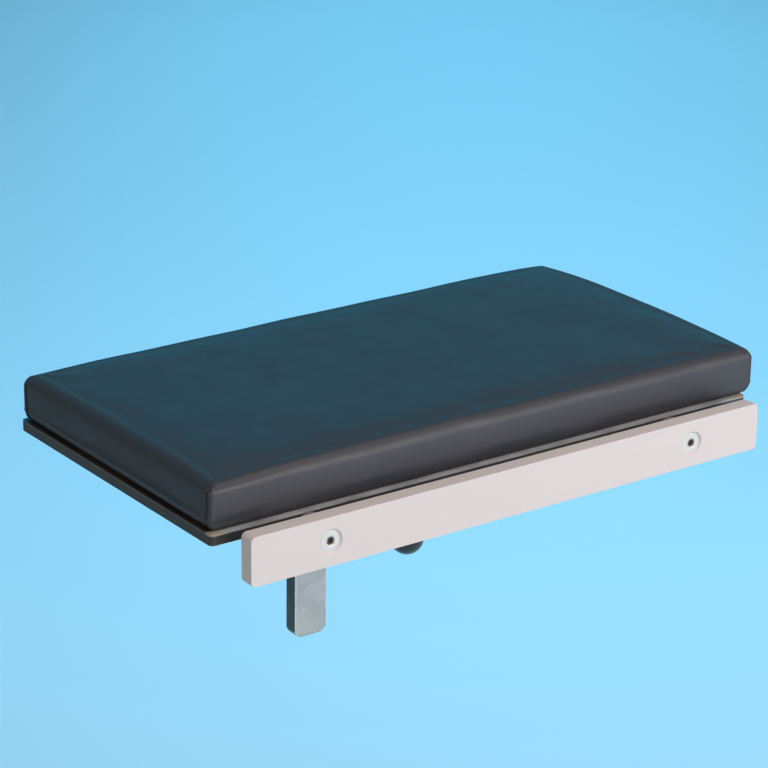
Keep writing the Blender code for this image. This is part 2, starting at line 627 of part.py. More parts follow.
def make_lever(finish):
    axis_base = Vector((0, CLAMP_AXIS_Y, 0))
    reach = KNOB_CENTRE - LEVER_ROOT
    along = reach.normalized()
    outline = arc((0, CLAMP_AXIS_Y), HUB_RADIUS, -30, 210, 16)
    outline += [(-LEVER_TONGUE_HALF_WIDTH, LEVER_TONGUE_Y), (LEVER_TONGUE_HALF_WIDTH, LEVER_TONGUE_Y)]
    hub = prism("lever_hub", outline, "XY", HUB_BOTTOM_Z, HUB_TOP_Z, finish["steel"])
    chamfer(hub, HUB_EDGE, 50)
    plain_hole(hub, SHAFT_RADIUS + GAP, axis_base, Z_AXIS, SHAFT_BOTTOM_Z - GAP, HUB_TOP_Z + CUT_PAST, FINE)
    hole_end = LEVER_ROOT.y - LEVER_TONGUE_Y + LEVER_HOLE_PAST
    plain_hole(hub, LEVER_ROD_RADIUS + GAP, LEVER_ROOT, along, LEVER_ROD_START - GAP, hole_end)
    pin_base = Vector((0, CLAMP_AXIS_Y, PIN_Z))
    past = HUB_RADIUS + CUT_PAST
    plain_hole(hub, PIN_RADIUS + GAP, pin_base, X_AXIS, -past, past, PIN_SIDES)

    half_pin = HUB_RADIUS - PIN_SHORT
    pin = [(0, -half_pin), (PIN_RADIUS, -half_pin), (PIN_RADIUS, half_pin), (0, half_pin)]
    turned("hub_pin", pin, pin_base, X_AXIS, finish["bright"], PIN_SIDES)

    rod_end = reach.length - KNOB_FLAT + KNOB_HOLE_DEPTH - GAP
    radius = LEVER_ROD_RADIUS
    rod = [(0, LEVER_ROD_START), (radius, LEVER_ROD_START), (radius, rod_end), (0, rod_end)]
    turned("lever_rod", rod, LEVER_ROOT, along, finish["bright"], COARSE)

    flat_angle = math.acos(KNOB_FLAT / KNOB_RADIUS)
    rows = 10
    ball = [(0, -KNOB_FLAT)]
    for row in range(rows):
        angle = flat_angle + (math.pi - flat_angle) * row / rows
        ball.append((KNOB_RADIUS * math.sin(angle), -KNOB_RADIUS * math.cos(angle)))
    ball.append((0, KNOB_RADIUS))
    knob = turned("ball_knob", ball, KNOB_CENTRE, along, finish["phenolic_knob"])
    hole = LEVER_ROD_RADIUS + GAP
    plain_hole(knob, hole, KNOB_CENTRE, along, -KNOB_FLAT - CUT_PAST, -KNOB_FLAT + KNOB_HOLE_DEPTH)


def make_clamp(finish):
    make_clamp_body(finish)
    bronze = finish["bronze"]
    lower = CLAMP_BOTTOM_Z - GAP
    flanged_bush("clamp_bush_lower", lower - BUSH_FLANGE + GAP / 2, lower, LOWER_BUSH_TOP_Z, bronze)
    upper = WELL_FLOOR_Z + GAP
    flanged_bush("clamp_bush_upper", upper + BUSH_FLANGE, upper, UPPER_BUSH_BOTTOM_Z, bronze)
    make_spring(finish["bright"])
    make_clamp_shaft(finish)
    make_swing_toe(finish)
    make_lever(finish)


# ---------------------------------------------------------------- cushion


def make_strips(finish):
    """The hook strips stay on the board, and the loop strips lift off with the cushion."""
    half = STRIP_LENGTH / 2
    hook_bottom = BOARD_TOP_Z + GAP
    loop_bottom = hook_bottom + STRIP_THICKNESS + GAP
    loop_top = CUSHION_BOTTOM_Z + COVER_THICKNESS
    for name, y in zip(("front", "back"), STRIP_Y):
        near, far = y - STRIP_WIDTH / 2, y + STRIP_WIDTH / 2
        hook_top = hook_bottom + STRIP_THICKNESS
        block("hook_strip_" + name, (-half, near, hook_bottom), (half, far, hook_top), finish["strip"])
        block("loop_strip_" + name, (-half, near, loop_bottom), (half, far, loop_top), finish["strip"])


def pillow(name, inset, bottom, finish):
    """A cushion-shaped solid that lies inside the cushion's outer surface by inset, from bottom up."""
    rise = CUSHION_SHOULDER_Z - CUSHION_EDGE
    # (how far the outline is drawn in, height) from the underside, up the wall and over the crown
    levels = [(CUSHION_FOOT + inset, bottom), (inset, bottom + CUSHION_EDGE)]
    for step in range(4):
        angle = math.radians(30 * step)
        radius = CUSHION_EDGE - inset
        levels.append((CUSHION_EDGE - radius * math.cos(angle), rise + radius * math.sin(angle)))
    shoulder = CUSHION_SHOULDER_Z - inset
    for distance, share in CROWN_STEPS:
        levels.append((CUSHION_EDGE + distance, shoulder + CUSHION_CROWN * share))
    shape = bmesh.new()
    rings = []
    for draw_in, height in levels:
        low = (CUSHION_LEFT_X + draw_in, CUSHION_FRONT_Y + draw_in)
        high = (CUSHION_RIGHT_X - draw_in, CUSHION_BACK_Y - draw_in)
        outline = rounded_rectangle(low, high, CUSHION_CORNER, 4)
        rings.append([shape.verts.new((x, y, height)) for x, y in outline])
    for first, second in zip(rings, rings[1:]):
        for i in range(len(first)):
            j = (i + 1) % len(first)
            shape.faces.new((first[i], first[j], second[j], second[i]))
    shape.faces.new(rings[0])
    shape.faces.new(rings[-1])
    return finish_mesh(name, shape, finish, smooth=True)


def make_cushion(finish):
    cover = pillow("cushion_cover", 0, CUSHION_BOTTOM_Z, finish["vinyl"])
    inside_z = CUSHION_BOTTOM_Z + COVER_THICKNESS
    cut(cover, pillow("cutter_cover_inside", COVER_THICKNESS, inside_z, None))
    inward = COVER_TURN_UNDER
    low = (CUSHION_LEFT_X + inward, CUSHION_FRONT_Y + inward, CUSHION_BOTTOM_Z - CUT_PAST)
    high = (CUSHION_RIGHT_X - inward, CUSHION_BACK_Y - inward, inside_z + CUT_PAST)
    cut(cover, block("cutter_cover_mouth", low, high, None))

    margin = CUSHION_FOOT + COVER_THICKNESS + GAP
    low = (CUSHION_LEFT_X + margin, CUSHION_FRONT_Y + margin)
    high = (CUSHION_RIGHT_X - margin, CUSHION_BACK_Y - margin)
    outline = rounded_rectangle(low, high, CUSHION_CORNER, 4)
    stiffener_bottom = inside_z + GAP
    stiffener_top = stiffener_bottom + STIFFENER_THICKNESS
    prism("cushion_stiffener", outline, "XY", stiffener_bottom, stiffener_top, finish["ply"])
    pillow("cushion_foam", COVER_THICKNESS + GAP, stiffener_top + GAP, finish["foam"])


def main():
    clear_scene()
    finish = make_materials()
    make_side_rail(finish)
    make_rail_fixings(finish)
    make_base_board(finish)
    make_board_screws(finish)
    make_bars(finish)
    make_rail_hooks(finish)
    make_bearings(finish)
    make_clamp(finish)
    make_strips(finish)
    make_cushion(finish)


main()
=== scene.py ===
"""Looks of the padded side extension: vinyl cushion, phenolic board, accessory rail and clamp.

Metres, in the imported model's frame: +X along the rail, +Y into the table, +Z up.
"""

import math

import bmesh
import bpy
import numpy as np
from mathutils import Matrix, Quaternion, Vector


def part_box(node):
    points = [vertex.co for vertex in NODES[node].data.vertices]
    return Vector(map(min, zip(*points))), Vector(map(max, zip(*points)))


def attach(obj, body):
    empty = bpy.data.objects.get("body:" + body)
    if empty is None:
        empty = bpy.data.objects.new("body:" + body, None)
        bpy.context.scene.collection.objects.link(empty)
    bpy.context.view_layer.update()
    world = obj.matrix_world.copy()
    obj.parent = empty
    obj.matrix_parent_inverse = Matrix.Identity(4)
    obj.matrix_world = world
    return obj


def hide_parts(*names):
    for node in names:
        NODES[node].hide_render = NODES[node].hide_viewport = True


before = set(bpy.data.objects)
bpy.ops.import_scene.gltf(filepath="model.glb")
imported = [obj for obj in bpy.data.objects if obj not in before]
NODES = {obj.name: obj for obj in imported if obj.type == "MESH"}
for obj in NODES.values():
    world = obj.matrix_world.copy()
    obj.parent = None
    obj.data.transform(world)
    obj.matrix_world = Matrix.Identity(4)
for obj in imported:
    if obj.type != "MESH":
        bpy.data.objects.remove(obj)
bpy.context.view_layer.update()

X_AXIS = Vector((1, 0, 0))
Y_AXIS = Vector((0, 1, 0))
Z_AXIS = Vector((0, 0, 1))

# How many sides the CAD's turned pieces have, which sets how far their boxes fall short of a circle
CAD_FINE = 24
CAD_COARSE = 14
CAD_PIN = 12

ROUND = 72  # sides of the turned pieces here
BORE_ROUND = 40  # sides of the smaller holes
SMALL_ROUND = 32  # and of the smallest
CUT_PAST = 0.001  # how far a cutter starts outside the face it cuts
FIT_GAP = 0.0003  # between parts that fit into each other


# ---------------- camera

CAMERA_PLACE = Vector((-0.9237, -1.3441, 0.6279))
CAMERA_YAW = 36.07  # from +Y towards +X, in degrees
CAMERA_PITCH = 20.49  # down
CAMERA_ROLL = -0.892
CAMERA_LENS = 134.0


def make_camera():
    yaw, pitch, roll = (math.radians(a) for a in (CAMERA_YAW, CAMERA_PITCH, CAMERA_ROLL))
    forward = Vector((math.sin(yaw) * math.cos(pitch), math.cos(yaw) * math.cos(pitch), -math.sin(pitch)))
    level = Vector((math.cos(yaw), -math.sin(yaw), 0))
    down = forward.cross(level)
    right = level * math.cos(roll) + down * math.sin(roll)
    up = level * math.sin(roll) - down * math.cos(roll)
    camera = bpy.data.objects.new("camera", bpy.data.cameras.new("camera"))
    camera.data.lens = CAMERA_LENS
    camera.data.sensor_width = 36.0
    camera.data.clip_end = 60.0
    turn = Matrix((right, up, -forward)).transposed().to_4x4()
    camera.matrix_world = Matrix.Translation(CAMERA_PLACE) @ turn
    bpy.context.scene.collection.objects.link(camera)
    bpy.context.scene.camera = camera


make_camera()


# ---------------- material helpers


class Nodes:
    """A node tree, with short ways to add to it."""

    def __init__(self, tree):
        self.tree = tree

    def node(self, kind, inputs=None, **settings):
        made = self.tree.nodes.new(kind)
        for key, value in settings.items():
            setattr(made, key, value)
        for key, value in (inputs or {}).items():
            if isinstance(value, bpy.types.NodeSocket):
                self.tree.links.new(value, made.inputs[key])
            else:
                made.inputs[key].default_value = value
        return made

    def maths(self, operation, first, second=0.0):
        return self.node("ShaderNodeMath", {0: first, 1: second}, operation=operation).outputs[0]

    def spread(self, value, low, high, to_low=0.0, to_high=1.0):
        """Maps low..high to to_low..to_high, and holds it there outside."""
        inputs = {0: value, 1: low, 2: high, 3: to_low, 4: to_high}
        return self.node("ShaderNodeMapRange", inputs).outputs[0]

    def mix(self, share, first, second):
        """Between two colours, by a share that comes from a node."""
        colours = [c if isinstance(c, bpy.types.NodeSocket) else (*c, 1.0) for c in (first, second)]
        inputs = {0: share, 6: colours[0], 7: colours[1]}
        return self.node("ShaderNodeMix", data_type="RGBA", inputs=inputs).outputs[2]


class Paint(Nodes):
    """A Principled material: its colour, roughness and bump are patterns in object space, in metres."""

    def __init__(self, name, roughness, metallic=0.0, **constants):
        self.material = bpy.data.materials.new(name)
        self.material.use_nodes = True
        super().__init__(self.material.node_tree)
        self.shader = self.tree.nodes["Principled BSDF"]
        self.shader.inputs["Roughness"].default_value = roughness
        self.shader.inputs["Metallic"].default_value = metallic
        for socket, value in constants.items():
            self.shader.inputs[socket.replace("_", " ")].default_value = value
        self.place = self.node("ShaderNodeTexCoord").outputs["Object"]
        self.normal = None

    def noise(self, scale, detail=3.0, stretch=None):
        """Noise in object space. A stretch under 1 in some direction makes it run longer that way."""
        where = self.place
        if stretch:
            where = self.node("ShaderNodeMapping", {"Vector": where, "Scale": stretch}).outputs["Vector"]
        inputs = {"Vector": where, "Scale": scale, "Detail": detail}
        return self.node("ShaderNodeTexNoise", inputs).outputs["Fac"]

    def cells(self, scale, feature="F1", randomness=1.0, output="Distance"):
        inputs = {"Vector": self.place, "Scale": scale, "Randomness": randomness}
        return self.node("ShaderNodeTexVoronoi", inputs, feature=feature).outputs[output]

    def axis(self, name):
        """One coordinate of object space, in metres."""
        return self.node("ShaderNodeSeparateXYZ", {0: self.place}).outputs[name]

    def colour(self, value):
        if isinstance(value, bpy.types.NodeSocket):
            self.tree.links.new(value, self.shader.inputs["Base Color"])
        else:
            self.shader.inputs["Base Color"].default_value = (*value, 1.0)

    def rough(self, pattern, smooth, dull, low=0.3, high=0.7):
        """Roughness by a pattern: smooth where it's under low, dull where it's over high."""
        roughness = self.spread(pattern, low, high, smooth, dull)
        self.tree.links.new(roughness, self.shader.inputs["Roughness"])

    def bump(self, height, distance, strength=1.0):
        """Adds relief: height 0..1 stands for distance in metres."""
        inputs = {"Height": height, "Distance": distance, "Strength": strength}
        if self.normal is not None:
            inputs["Normal"] = self.normal
        self.normal = self.node("ShaderNodeBump", inputs).outputs["Normal"]
        self.tree.links.new(self.normal, self.shader.inputs["Normal"])


# ---------------- materials

PALE_FROM_Y = -0.1790  # the board is pale in front of this: rubbed wear, and painted light from the front
PALE_FROM_X = 0.1872  # and a little beyond this, both ways
PALE_FROM_Z = 0.0279  # but only near its top
END_WEAR_AND_SHADE = 0.15  # how pale its ends are, against its front: less wear, and painted shade on the ends
BROWN_REACH = (0.176, 0.187)  # from the middle, where the pale rim turns from grey to brown


def vinyl_paint():
    """Black upholstery vinyl: pebbled grain about a millimetre across, soft sheen, faint handling marks."""
    paint = Paint("vinyl", 0.42)
    broad = paint.noise(9.0, 4.0)
    marks = paint.noise(60.0, 5.0)
    tone = paint.mix(broad, (0.0248, 0.0252, 0.0305), (0.0292, 0.0297, 0.0352))
    paint.colour(paint.mix(paint.spread(marks, 0.62, 0.80, 0.0, 0.12), tone, (0.040, 0.043, 0.046)))
    paint.rough(marks, 0.44, 0.52, 0.30, 0.75)
    pebbles = paint.spread(paint.cells(950.0, "SMOOTH_F1"), 0.0, 0.75, 1.0, 0.0)
    paint.bump(pebbles, 0.00006, 0.55)
    paint.bump(paint.noise(2600.0, 2.0), 0.00003, 0.35)
    paint.bump(paint.noise(38.0, 2.0), 0.0009, 0.16)
    return paint.material


def rail_paint():
    """Satin light metal, drawn lengthways, with faint rubbed marks."""
    paint = Paint("rail_metal", 0.6, Specular_IOR_Level=0.35)
    drawn = paint.noise(900.0, 3.0, (0.03, 1.0, 1.0))
    patches = paint.noise(14.0, 4.0, (0.5, 1.0, 1.0))
    tone = paint.mix(patches, (0.555, 0.492, 0.466), (0.595, 0.530, 0.502))
    tone = paint.mix(paint.spread(drawn, 0.35, 0.65, 0.0, 0.07), tone, (0.445, 0.415, 0.395))
    specks = paint.noise(420.0, 2.0)
    paint.colour(paint.mix(paint.spread(specks, 0.68, 0.78, 0.0, 0.16), tone, (0.40, 0.38, 0.37)))
    paint.rough(patches, 0.52, 0.64)
    paint.bump(drawn, 0.00004, 0.14)
    paint.bump(paint.noise(110.0, 3.0), 0.00015, 0.12)
    return paint.material


def board_paint():
    """Dark phenolic laminate, with paper layers along its edges and its front rim pale: rubbed wear, and
    painted light that keeps it brighter than the ends.
    """
    paint = Paint("phenolic", 0.42)
    weave = paint.noise(700.0, 3.0)
    tone = paint.mix(paint.noise(22.0, 4.0), (0.020, 0.019, 0.016), (0.034, 0.031, 0.026))
    layers = paint.noise(1500.0, 2.0, (0.02, 0.02, 1.0))
    tone = paint.mix(paint.spread(layers, 0.48, 0.60, 0.0, 0.5), tone, (0.058, 0.050, 0.036))
    rub = paint.noise(160.0, 5.0, (0.25, 1.0, 1.0))
    reach = paint.maths("ABSOLUTE", paint.axis("X"))
    front = paint.spread(paint.axis("Y"), PALE_FROM_Y, PALE_FROM_Y + 0.003, 1.0, 0.0)
    ends = paint.spread(reach, PALE_FROM_X, PALE_FROM_X + 0.0008)
    upper = paint.spread(paint.axis("Z"), PALE_FROM_Z, PALE_FROM_Z + 0.0005)
    # pale rim: wear, with painted light along the front and painted shade keeping the ends darker
    rim = paint.maths("MAXIMUM", front, paint.maths("MULTIPLY", ends, END_WEAR_AND_SHADE))
    wear_and_light = paint.maths("MULTIPLY", rim, upper)
    wear_and_light = paint.maths("MULTIPLY", wear_and_light, paint.spread(rub, 0.25, 0.55, 0.55, 1.0))
    grey = paint.mix(rub, (0.23, 0.228, 0.23), (0.40, 0.395, 0.397))
    brown = paint.mix(rub, (0.20, 0.145, 0.095), (0.48, 0.39, 0.28))
    pale = paint.mix(paint.spread(reach, *BROWN_REACH), grey, brown)
    paint.colour(paint.mix(wear_and_light, tone, pale))
    paint.rough(weave, 0.36, 0.50)
    paint.bump(weave, 0.00005, 0.25)
    paint.bump(layers, 0.00008, 0.20)
    return paint.material


def zinc_paint():
    """Dull zinc plate: blotchy grey with small crystals and a few darker spots."""
    paint = Paint("zinc_plate", 0.5, 0.75)
    crystals = paint.cells(210.0, output="Color")
    level = paint.node("ShaderNodeSeparateColor", {0: crystals}).outputs[0]
    cloud = paint.noise(70.0, 5.0)
    tone = paint.mix(level, (0.270, 0.278, 0.268), (0.325, 0.333, 0.322))
    tone = paint.mix(paint.spread(cloud, 0.35, 0.70, 0.0, 0.6), tone, (0.40, 0.405, 0.393))
    spots = paint.noise(520.0, 2.0)
    paint.colour(paint.mix(paint.spread(spots, 0.66, 0.74, 0.0, 0.5), tone, (0.20, 0.22, 0.23)))
    paint.rough(cloud, 0.42, 0.60)
    paint.bump(paint.noise(900.0, 3.0), 0.00006, 0.35)
    return paint.material


def sheared_shade_paint():
    """The sheared edges of the bars: shear marks in the bump, and a dark blue-green colour that is painted
    shade.
    """
    paint = Paint("sheared_edge_painted_shade", 0.55, 0.6)
    cloud = paint.noise(90.0, 5.0, (1.0, 1.0, 0.3))
    paint.colour(paint.mix(paint.spread(cloud, 0.3, 0.7), (0.060, 0.085, 0.092), (0.13, 0.165, 0.175)))
    paint.bump(paint.noise(600.0, 3.0, (1.0, 1.0, 0.15)), 0.00010, 0.4)
    return paint.material


def steel_paint():
    """Machined steel with cutter lines and an oily stain or two."""
    paint = Paint("machined_steel", 0.38, 1.0)
    lines = paint.noise(1400.0, 2.0, (1.0, 0.05, 1.0))
    stain = paint.noise(55.0, 5.0)
    tone = paint.mix(paint.spread(lines, 0.35, 0.65), (0.27, 0.285, 0.30), (0.36, 0.375, 0.39))
    paint.colour(paint.mix(paint.spread(stain, 0.56, 0.72, 0.0, 0.5), tone, (0.16, 0.15, 0.14)))
    paint.rough(stain, 0.30, 0.48)
    paint.bump(lines, 0.00005, 0.30)
    return paint.material


def bright_paint():
    """Bright turned steel."""
    paint = Paint("bright_steel", 0.26, 1.0)
    haze = paint.noise(240.0, 4.0)
    paint.colour(paint.mix(haze, (0.66, 0.66, 0.63), (0.80, 0.80, 0.77)))
    paint.rough(haze, 0.20, 0.34)
    paint.bump(paint.noise(1800.0, 2.0), 0.00002, 0.3)
    return paint.material


def screw_head_paint():
    """A nickel-plated head, pale and slightly hazy."""
    paint = Paint("screw_head", 0.38, 0.15)
    haze = paint.noise(500.0, 3.0)
    paint.colour(paint.mix(haze, (0.53, 0.52, 0.488), (0.62, 0.607, 0.570)))
    paint.rough(haze, 0.28, 0.42)
    return paint.material


def socket_paint():
    """The darker brown inside of a hex socket."""
    paint = Paint("socket_inside", 0.65, 0.3)
    socket_mottle = paint.noise(900.0, 3.0)
    paint.colour(paint.mix(socket_mottle, (0.17, 0.12, 0.10), (0.33, 0.25, 0.21)))
    return paint.material


def bronze_paint():
    """Sintered bearing bronze, finely porous."""
    paint = Paint("bearing_bronze", 0.42, 1.0)
    pores = paint.cells(1500.0)
    paint.colour(paint.mix(paint.noise(120.0), (0.36, 0.23, 0.09), (0.50, 0.33, 0.14)))
    paint.bump(pores, 0.00005, 0.3)
    return paint.material


def nylon_paint():
    """Natural nylon, faintly mottled and scuffed."""
    paint = Paint("nylon", 0.5, Subsurface_Weight=0.12, Subsurface_Radius=(0.003, 0.003, 0.002))
    mottle = paint.noise(180.0, 4.0)
    paint.colour(paint.mix(mottle, (0.55, 0.54, 0.50), (0.66, 0.65, 0.61)))
    paint.rough(mottle, 0.42, 0.58)
    paint.bump(paint.noise(700.0, 2.0, (1.0, 1.0, 0.1)), 0.00005, 0.3)
    return paint.material


def knob_paint():
    """Polished black phenolic with a faint swirl."""
    paint = Paint("black_phenolic", 0.16, Coat_Weight=0.3, Coat_Roughness=0.08)
    swirl = paint.noise(120.0, 4.0)
    paint.colour(paint.mix(swirl, (0.008, 0.010, 0.012), (0.016, 0.019, 0.022)))
    paint.rough(swirl, 0.12, 0.24)
    return paint.material


def strip_paint(name, cell, depth):
    """Hook-and-loop tape: rows of tufts."""
    paint = Paint(name, 0.95, Sheen_Weight=0.25, Sheen_Roughness=0.6)
    tufts = paint.cells(cell, randomness=0.35)
    fluff = paint.noise(2200.0, 3.0)
    tone = paint.mix(fluff, (0.010, 0.010, 0.011), (0.030, 0.030, 0.032))
    paint.colour(paint.mix(paint.spread(tufts, 0.0, 0.6), tone, (0.005, 0.005, 0.006)))
    paint.bump(paint.spread(tufts, 0.0, 0.6, 1.0, 0.0), depth, 0.9)
    paint.bump(fluff, 0.0003, 0.6)
    return paint.material


def stiffener_paint():
    """Hardboard: pressed brown fibre."""
    paint = Paint("hardboard", 0.82)
    fibre = paint.noise(420.0, 6.0, (1.0, 0.5, 1.0))
    paint.colour(paint.mix(paint.spread(fibre, 0.3, 0.7), (0.19, 0.115, 0.058), (0.36, 0.235, 0.130)))
    paint.bump(fibre, 0.00012, 0.5)
    return paint.material


VINYL = vinyl_paint()
RAIL = rail_paint()
BOARD = board_paint()
ZINC = zinc_paint()
SHEARED_SHADE = sheared_shade_paint()
STEEL = steel_paint()
BRIGHT = bright_paint()
SCREW_HEAD = screw_head_paint()
SOCKET = socket_paint()
BRONZE = bronze_paint()
NYLON = nylon_paint()
KNOB = knob_paint()
HOOKS = strip_paint("hook_tape", 650.0, 0.0006)
LOOPS = strip_paint("loop_tape", 900.0, 0.0004)
HARDBOARD = stiffener_paint()


# ---------------- modelling helpers


def from_bmesh(name, shape, *materials):
    bmesh.ops.recalc_face_normals(shape, faces=shape.faces[:])
    mesh = bpy.data.meshes.new(name)
    shape.to_mesh(mesh)
    shape.free()
    for finish in materials:
        mesh.materials.append(finish)
    piece = bpy.data.objects.new(name, mesh)
    bpy.context.scene.collection.objects.link(piece)
    return piece


def apply_modifiers(piece):
    graph = bpy.context.evaluated_depsgraph_get()
    evaluated = bpy.data.meshes.new_from_object(piece.evaluated_get(graph))
    piece.modifiers.clear()
    old = piece.data
    piece.data = evaluated
    bpy.data.meshes.remove(old)
    return piece


def round_edges(piece, width, segments, angle):
    """Rounds every edge that turns by more than the angle, with a modifier."""
    bevel = piece.modifiers.new("edges", "BEVEL")
    bevel.width = width
    bevel.segments = segments
    bevel.limit_method = "ANGLE"
    bevel.angle_limit = math.radians(angle)


def soften(piece, width, angle):
    """Rounds the sharp edges of a finished piece, and shades the result smooth."""
    round_edges(piece, width, 3, angle)
    apply_modifiers(piece)
    shade(piece, angle)


def shade(piece, angle):
    """Smooth shading that breaks at sharp edges and keeps the broad faces looking flat."""
    piece.data.shade_smooth()
    piece.data.set_sharp_from_angle(angle=math.radians(angle))
    weighted = piece.modifiers.new("normals", "WEIGHTED_NORMAL")
    weighted.keep_sharp = True
    return apply_modifiers(piece)


def cut(piece, cutter):
    """Takes the cutter's shape out of a piece, and removes the cutter."""
    boolean = piece.modifiers.new("cut", "BOOLEAN")
    boolean.operation = "DIFFERENCE"
    boolean.solver = "EXACT"
    boolean.object = cutter
    apply_modifiers(piece)
    bpy.data.objects.remove(cutter, do_unlink=True)


def arc(centre, radius, start, end, steps):
    """Points on an arc, both ends included. Angles in degrees."""
    angles = [math.radians(start + (end - start) * i / steps) for i in range(steps + 1)]
    return [(centre[0] + radius * math.cos(a), centre[1] + radius * math.sin(a)) for a in angles]


def rounded_rectangle(low, high, radius, steps=10):
    (left, bottom), (right, top) = low, high
    corners = (
        ((right - radius, bottom + radius), -90),
        ((right - radius, top - radius), 0),
        ((left + radius, top - radius), 90),
        ((left + radius, bottom + radius), 180),
    )
    points = []
    for centre, start in corners:
        points += arc(centre, radius, start, start + 90, steps)
    return points


def prism(name, outline, plane, low, high, *materials):
    """An outline pushed from low to high along the direction that plane leaves out."""
    place = {
        "XY": lambda a, b, c: (a, b, c),
        "XZ": lambda a, b, c: (a, c, b),
    }[plane]
    shape = bmesh.new()
    rings = [[shape.verts.new(place(a, b, level)) for a, b in outline] for level in (low, high)]
    for i in range(len(outline)):
        j = (i + 1) % len(outline)
        shape.faces.new((rings[0][i], rings[0][j], rings[1][j], rings[1][i]))
    for ring in rings:
        shape.faces.new(ring)
    return from_bmesh(name, shape, *materials)


def turned(name, profile, base, axis, *materials, segments=ROUND):
    """A turned piece from (radius, distance along axis) pairs. A profile off the axis makes a closed ring."""
    axis = axis.normalized()
    side = axis.orthogonal().normalized()
    other = axis.cross(side)
    angles = [2 * math.pi * (i + 0.5) / segments for i in range(segments)]
    spokes = [side * math.cos(a) + other * math.sin(a) for a in angles]
    shape = bmesh.new()
    rings = []
    for radius, along in profile:
        centre = base + axis * along
        if radius == 0:
            rings.append([shape.verts.new(centre)])
        else:
            rings.append([shape.verts.new(centre + spoke * radius) for spoke in spokes])
    pairs = list(zip(rings, rings[1:]))
    if profile[0][0] > 0:
        pairs.append((rings[-1], rings[0]))
    for first, second in pairs:
        for i in range(segments):
            j = (i + 1) % segments
            corners = [first[i % len(first)], first[j % len(first)]]
            corners += [second[j % len(second)], second[i % len(second)]]
            corners = list(dict.fromkeys(corners))
            if len(corners) > 2:
                shape.faces.new(corners)
    return shade(from_bmesh(name, shape, *materials), 30)


def rod_profile(radius, length, edge, bore=0):
    """A rod, or with a bore a tube, with chamfered ends."""
    profile = [(bore, 0), (radius - edge, 0), (radius, edge), (radius, length - edge)]
    return profile + [(radius - edge, length), (bore, length)]


def hole_profile(radius, depth, before=CUT_PAST):
    """A plain round hole. The cutter starts a little before the face it cuts."""
    return [(0, -before), (radius, -before), (radius, depth), (0, depth)]


def countersunk_profile(head, bore, depth):
    """A hole for a flat-headed screw."""
    return [(0, -CUT_PAST), (head + CUT_PAST, -CUT_PAST), (bore, head - bore), (bore, depth), (0, depth)]


def settle(piece, body, slot, *nodes):
    """The piece rides on a body and stands for these CAD nodes, which it hides. The slot is not used."""
    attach(piece, body)
    if nodes:
        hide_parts(*nodes)


def centre_of(node):
    low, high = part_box(node)
    return (low + high) / 2


def span_of(node, axis):
    """The middle of the face where a node's box starts, along an axis, and the box's length that way."""
    low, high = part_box(node)
    length = abs((high - low).dot(axis))
    return (low + high) / 2 - axis * length / 2, length


def radius_of(node, axis, sides):
    """The radius of a turned CAD node, from its box across the axis."""
    low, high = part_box(node)
    across = [(high - low)[i] for i in range(3) if abs(axis[i]) < 0.5]
    return max(across) / 2 / math.cos(math.pi / sides)


# ---------------- rail and its fixings

RAIL_CORNER = 0.003
RAIL_EDGE = 0.0007
COUNTERSINK_RADIUS = 0.00735
SCREW_BORE = 0.0033
SCREW_BORE_DEPTH = 0.012
SOCKET_RADIUS = 0.00231
SPACER_EDGE = 0.0006
WIDE_HEAD = 0.005  # the rail's screws have heads wider than this, the board's haven't
SHANK_SHARES = (0.50, 0.52)  # of the head's radius, on wide and on narrow heads
FACE_SHARE = 0.55  # the inner part of a screw head's face
TIP_LENGTH = 0.4  # of a screw's tapered tip, in shank radii
TIP_WIDTH = 0.6


def make_rail():
    low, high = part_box("side_rail")
    outline = rounded_rectangle((low.x, low.z), (high.x, high.z), RAIL_CORNER)
    rail = prism("rail", outline, "XZ", low.y, high.y, RAIL)
    profile = countersunk_profile(COUNTERSINK_RADIUS, SCREW_BORE, SCREW_BORE_DEPTH)
    for side in ("left", "right"):
        centre = centre_of("rail_screw_" + side)
        cut(rail, turned("cutter", profile, Vector((centre.x, low.y, centre.z)), Y_AXIS))
    soften(rail, RAIL_EDGE, 30)
    settle(rail, "frame", "rail", "side_rail")


def hex_socket(piece, base, axis, radius, depth):
    """Cuts a hex socket and gives its walls the darker socket finish, which is the piece's last material."""
    profile = [(0, -CUT_PAST), (radius, -CUT_PAST), (radius, depth), (0, depth + radius * 0.4)]
    cut(piece, turned("cutter", profile, base, axis, SOCKET, segments=6))
    socket_finish = len(piece.data.materials) - 1
    for face in piece.data.polygons:
        offset = face.center - base
        along = offset.dot(axis)
        if along > 1e-5 and (offset - axis * along).length < radius * 1.01 and along < depth + radius:
            face.material_index = socket_finish


def head_edge(radius, rim):
    """The outer part of a screw head's face and its rounded edge."""
    return [(radius - 2 * rim, 0), (radius - rim * 0.6, rim * 0.5), (radius, rim * 1.6)]


def shank_profile(radius, start, length):
    """A shank with a tapered tip, down to the axis."""
    tip = length - radius * TIP_LENGTH
    return [(radius, start), (radius, tip), (radius * TIP_WIDTH, length), (0, length)]


def flat_head_screw(node, axis, socket, finish):
    """A countersunk screw where the CAD has its plain one."""
    base, length = span_of(node, axis)
    head = radius_of(node, axis, CAD_COARSE)
    shank = head * SHANK_SHARES[0 if head > WIDE_HEAD else 1]
    cone = head - shank
    rim = head * 0.03
    profile = [(0, 0), (head * FACE_SHARE, 0)] + head_edge(head, rim)
    profile += shank_profile(shank, cone + rim, length)
    screw = turned(node + "_fine", profile, base, axis, finish, SOCKET)
    hex_socket(screw, base, axis, socket, cone * 0.85)
    shade(screw, 30)
    settle(screw, "frame", "bright_steel", node)


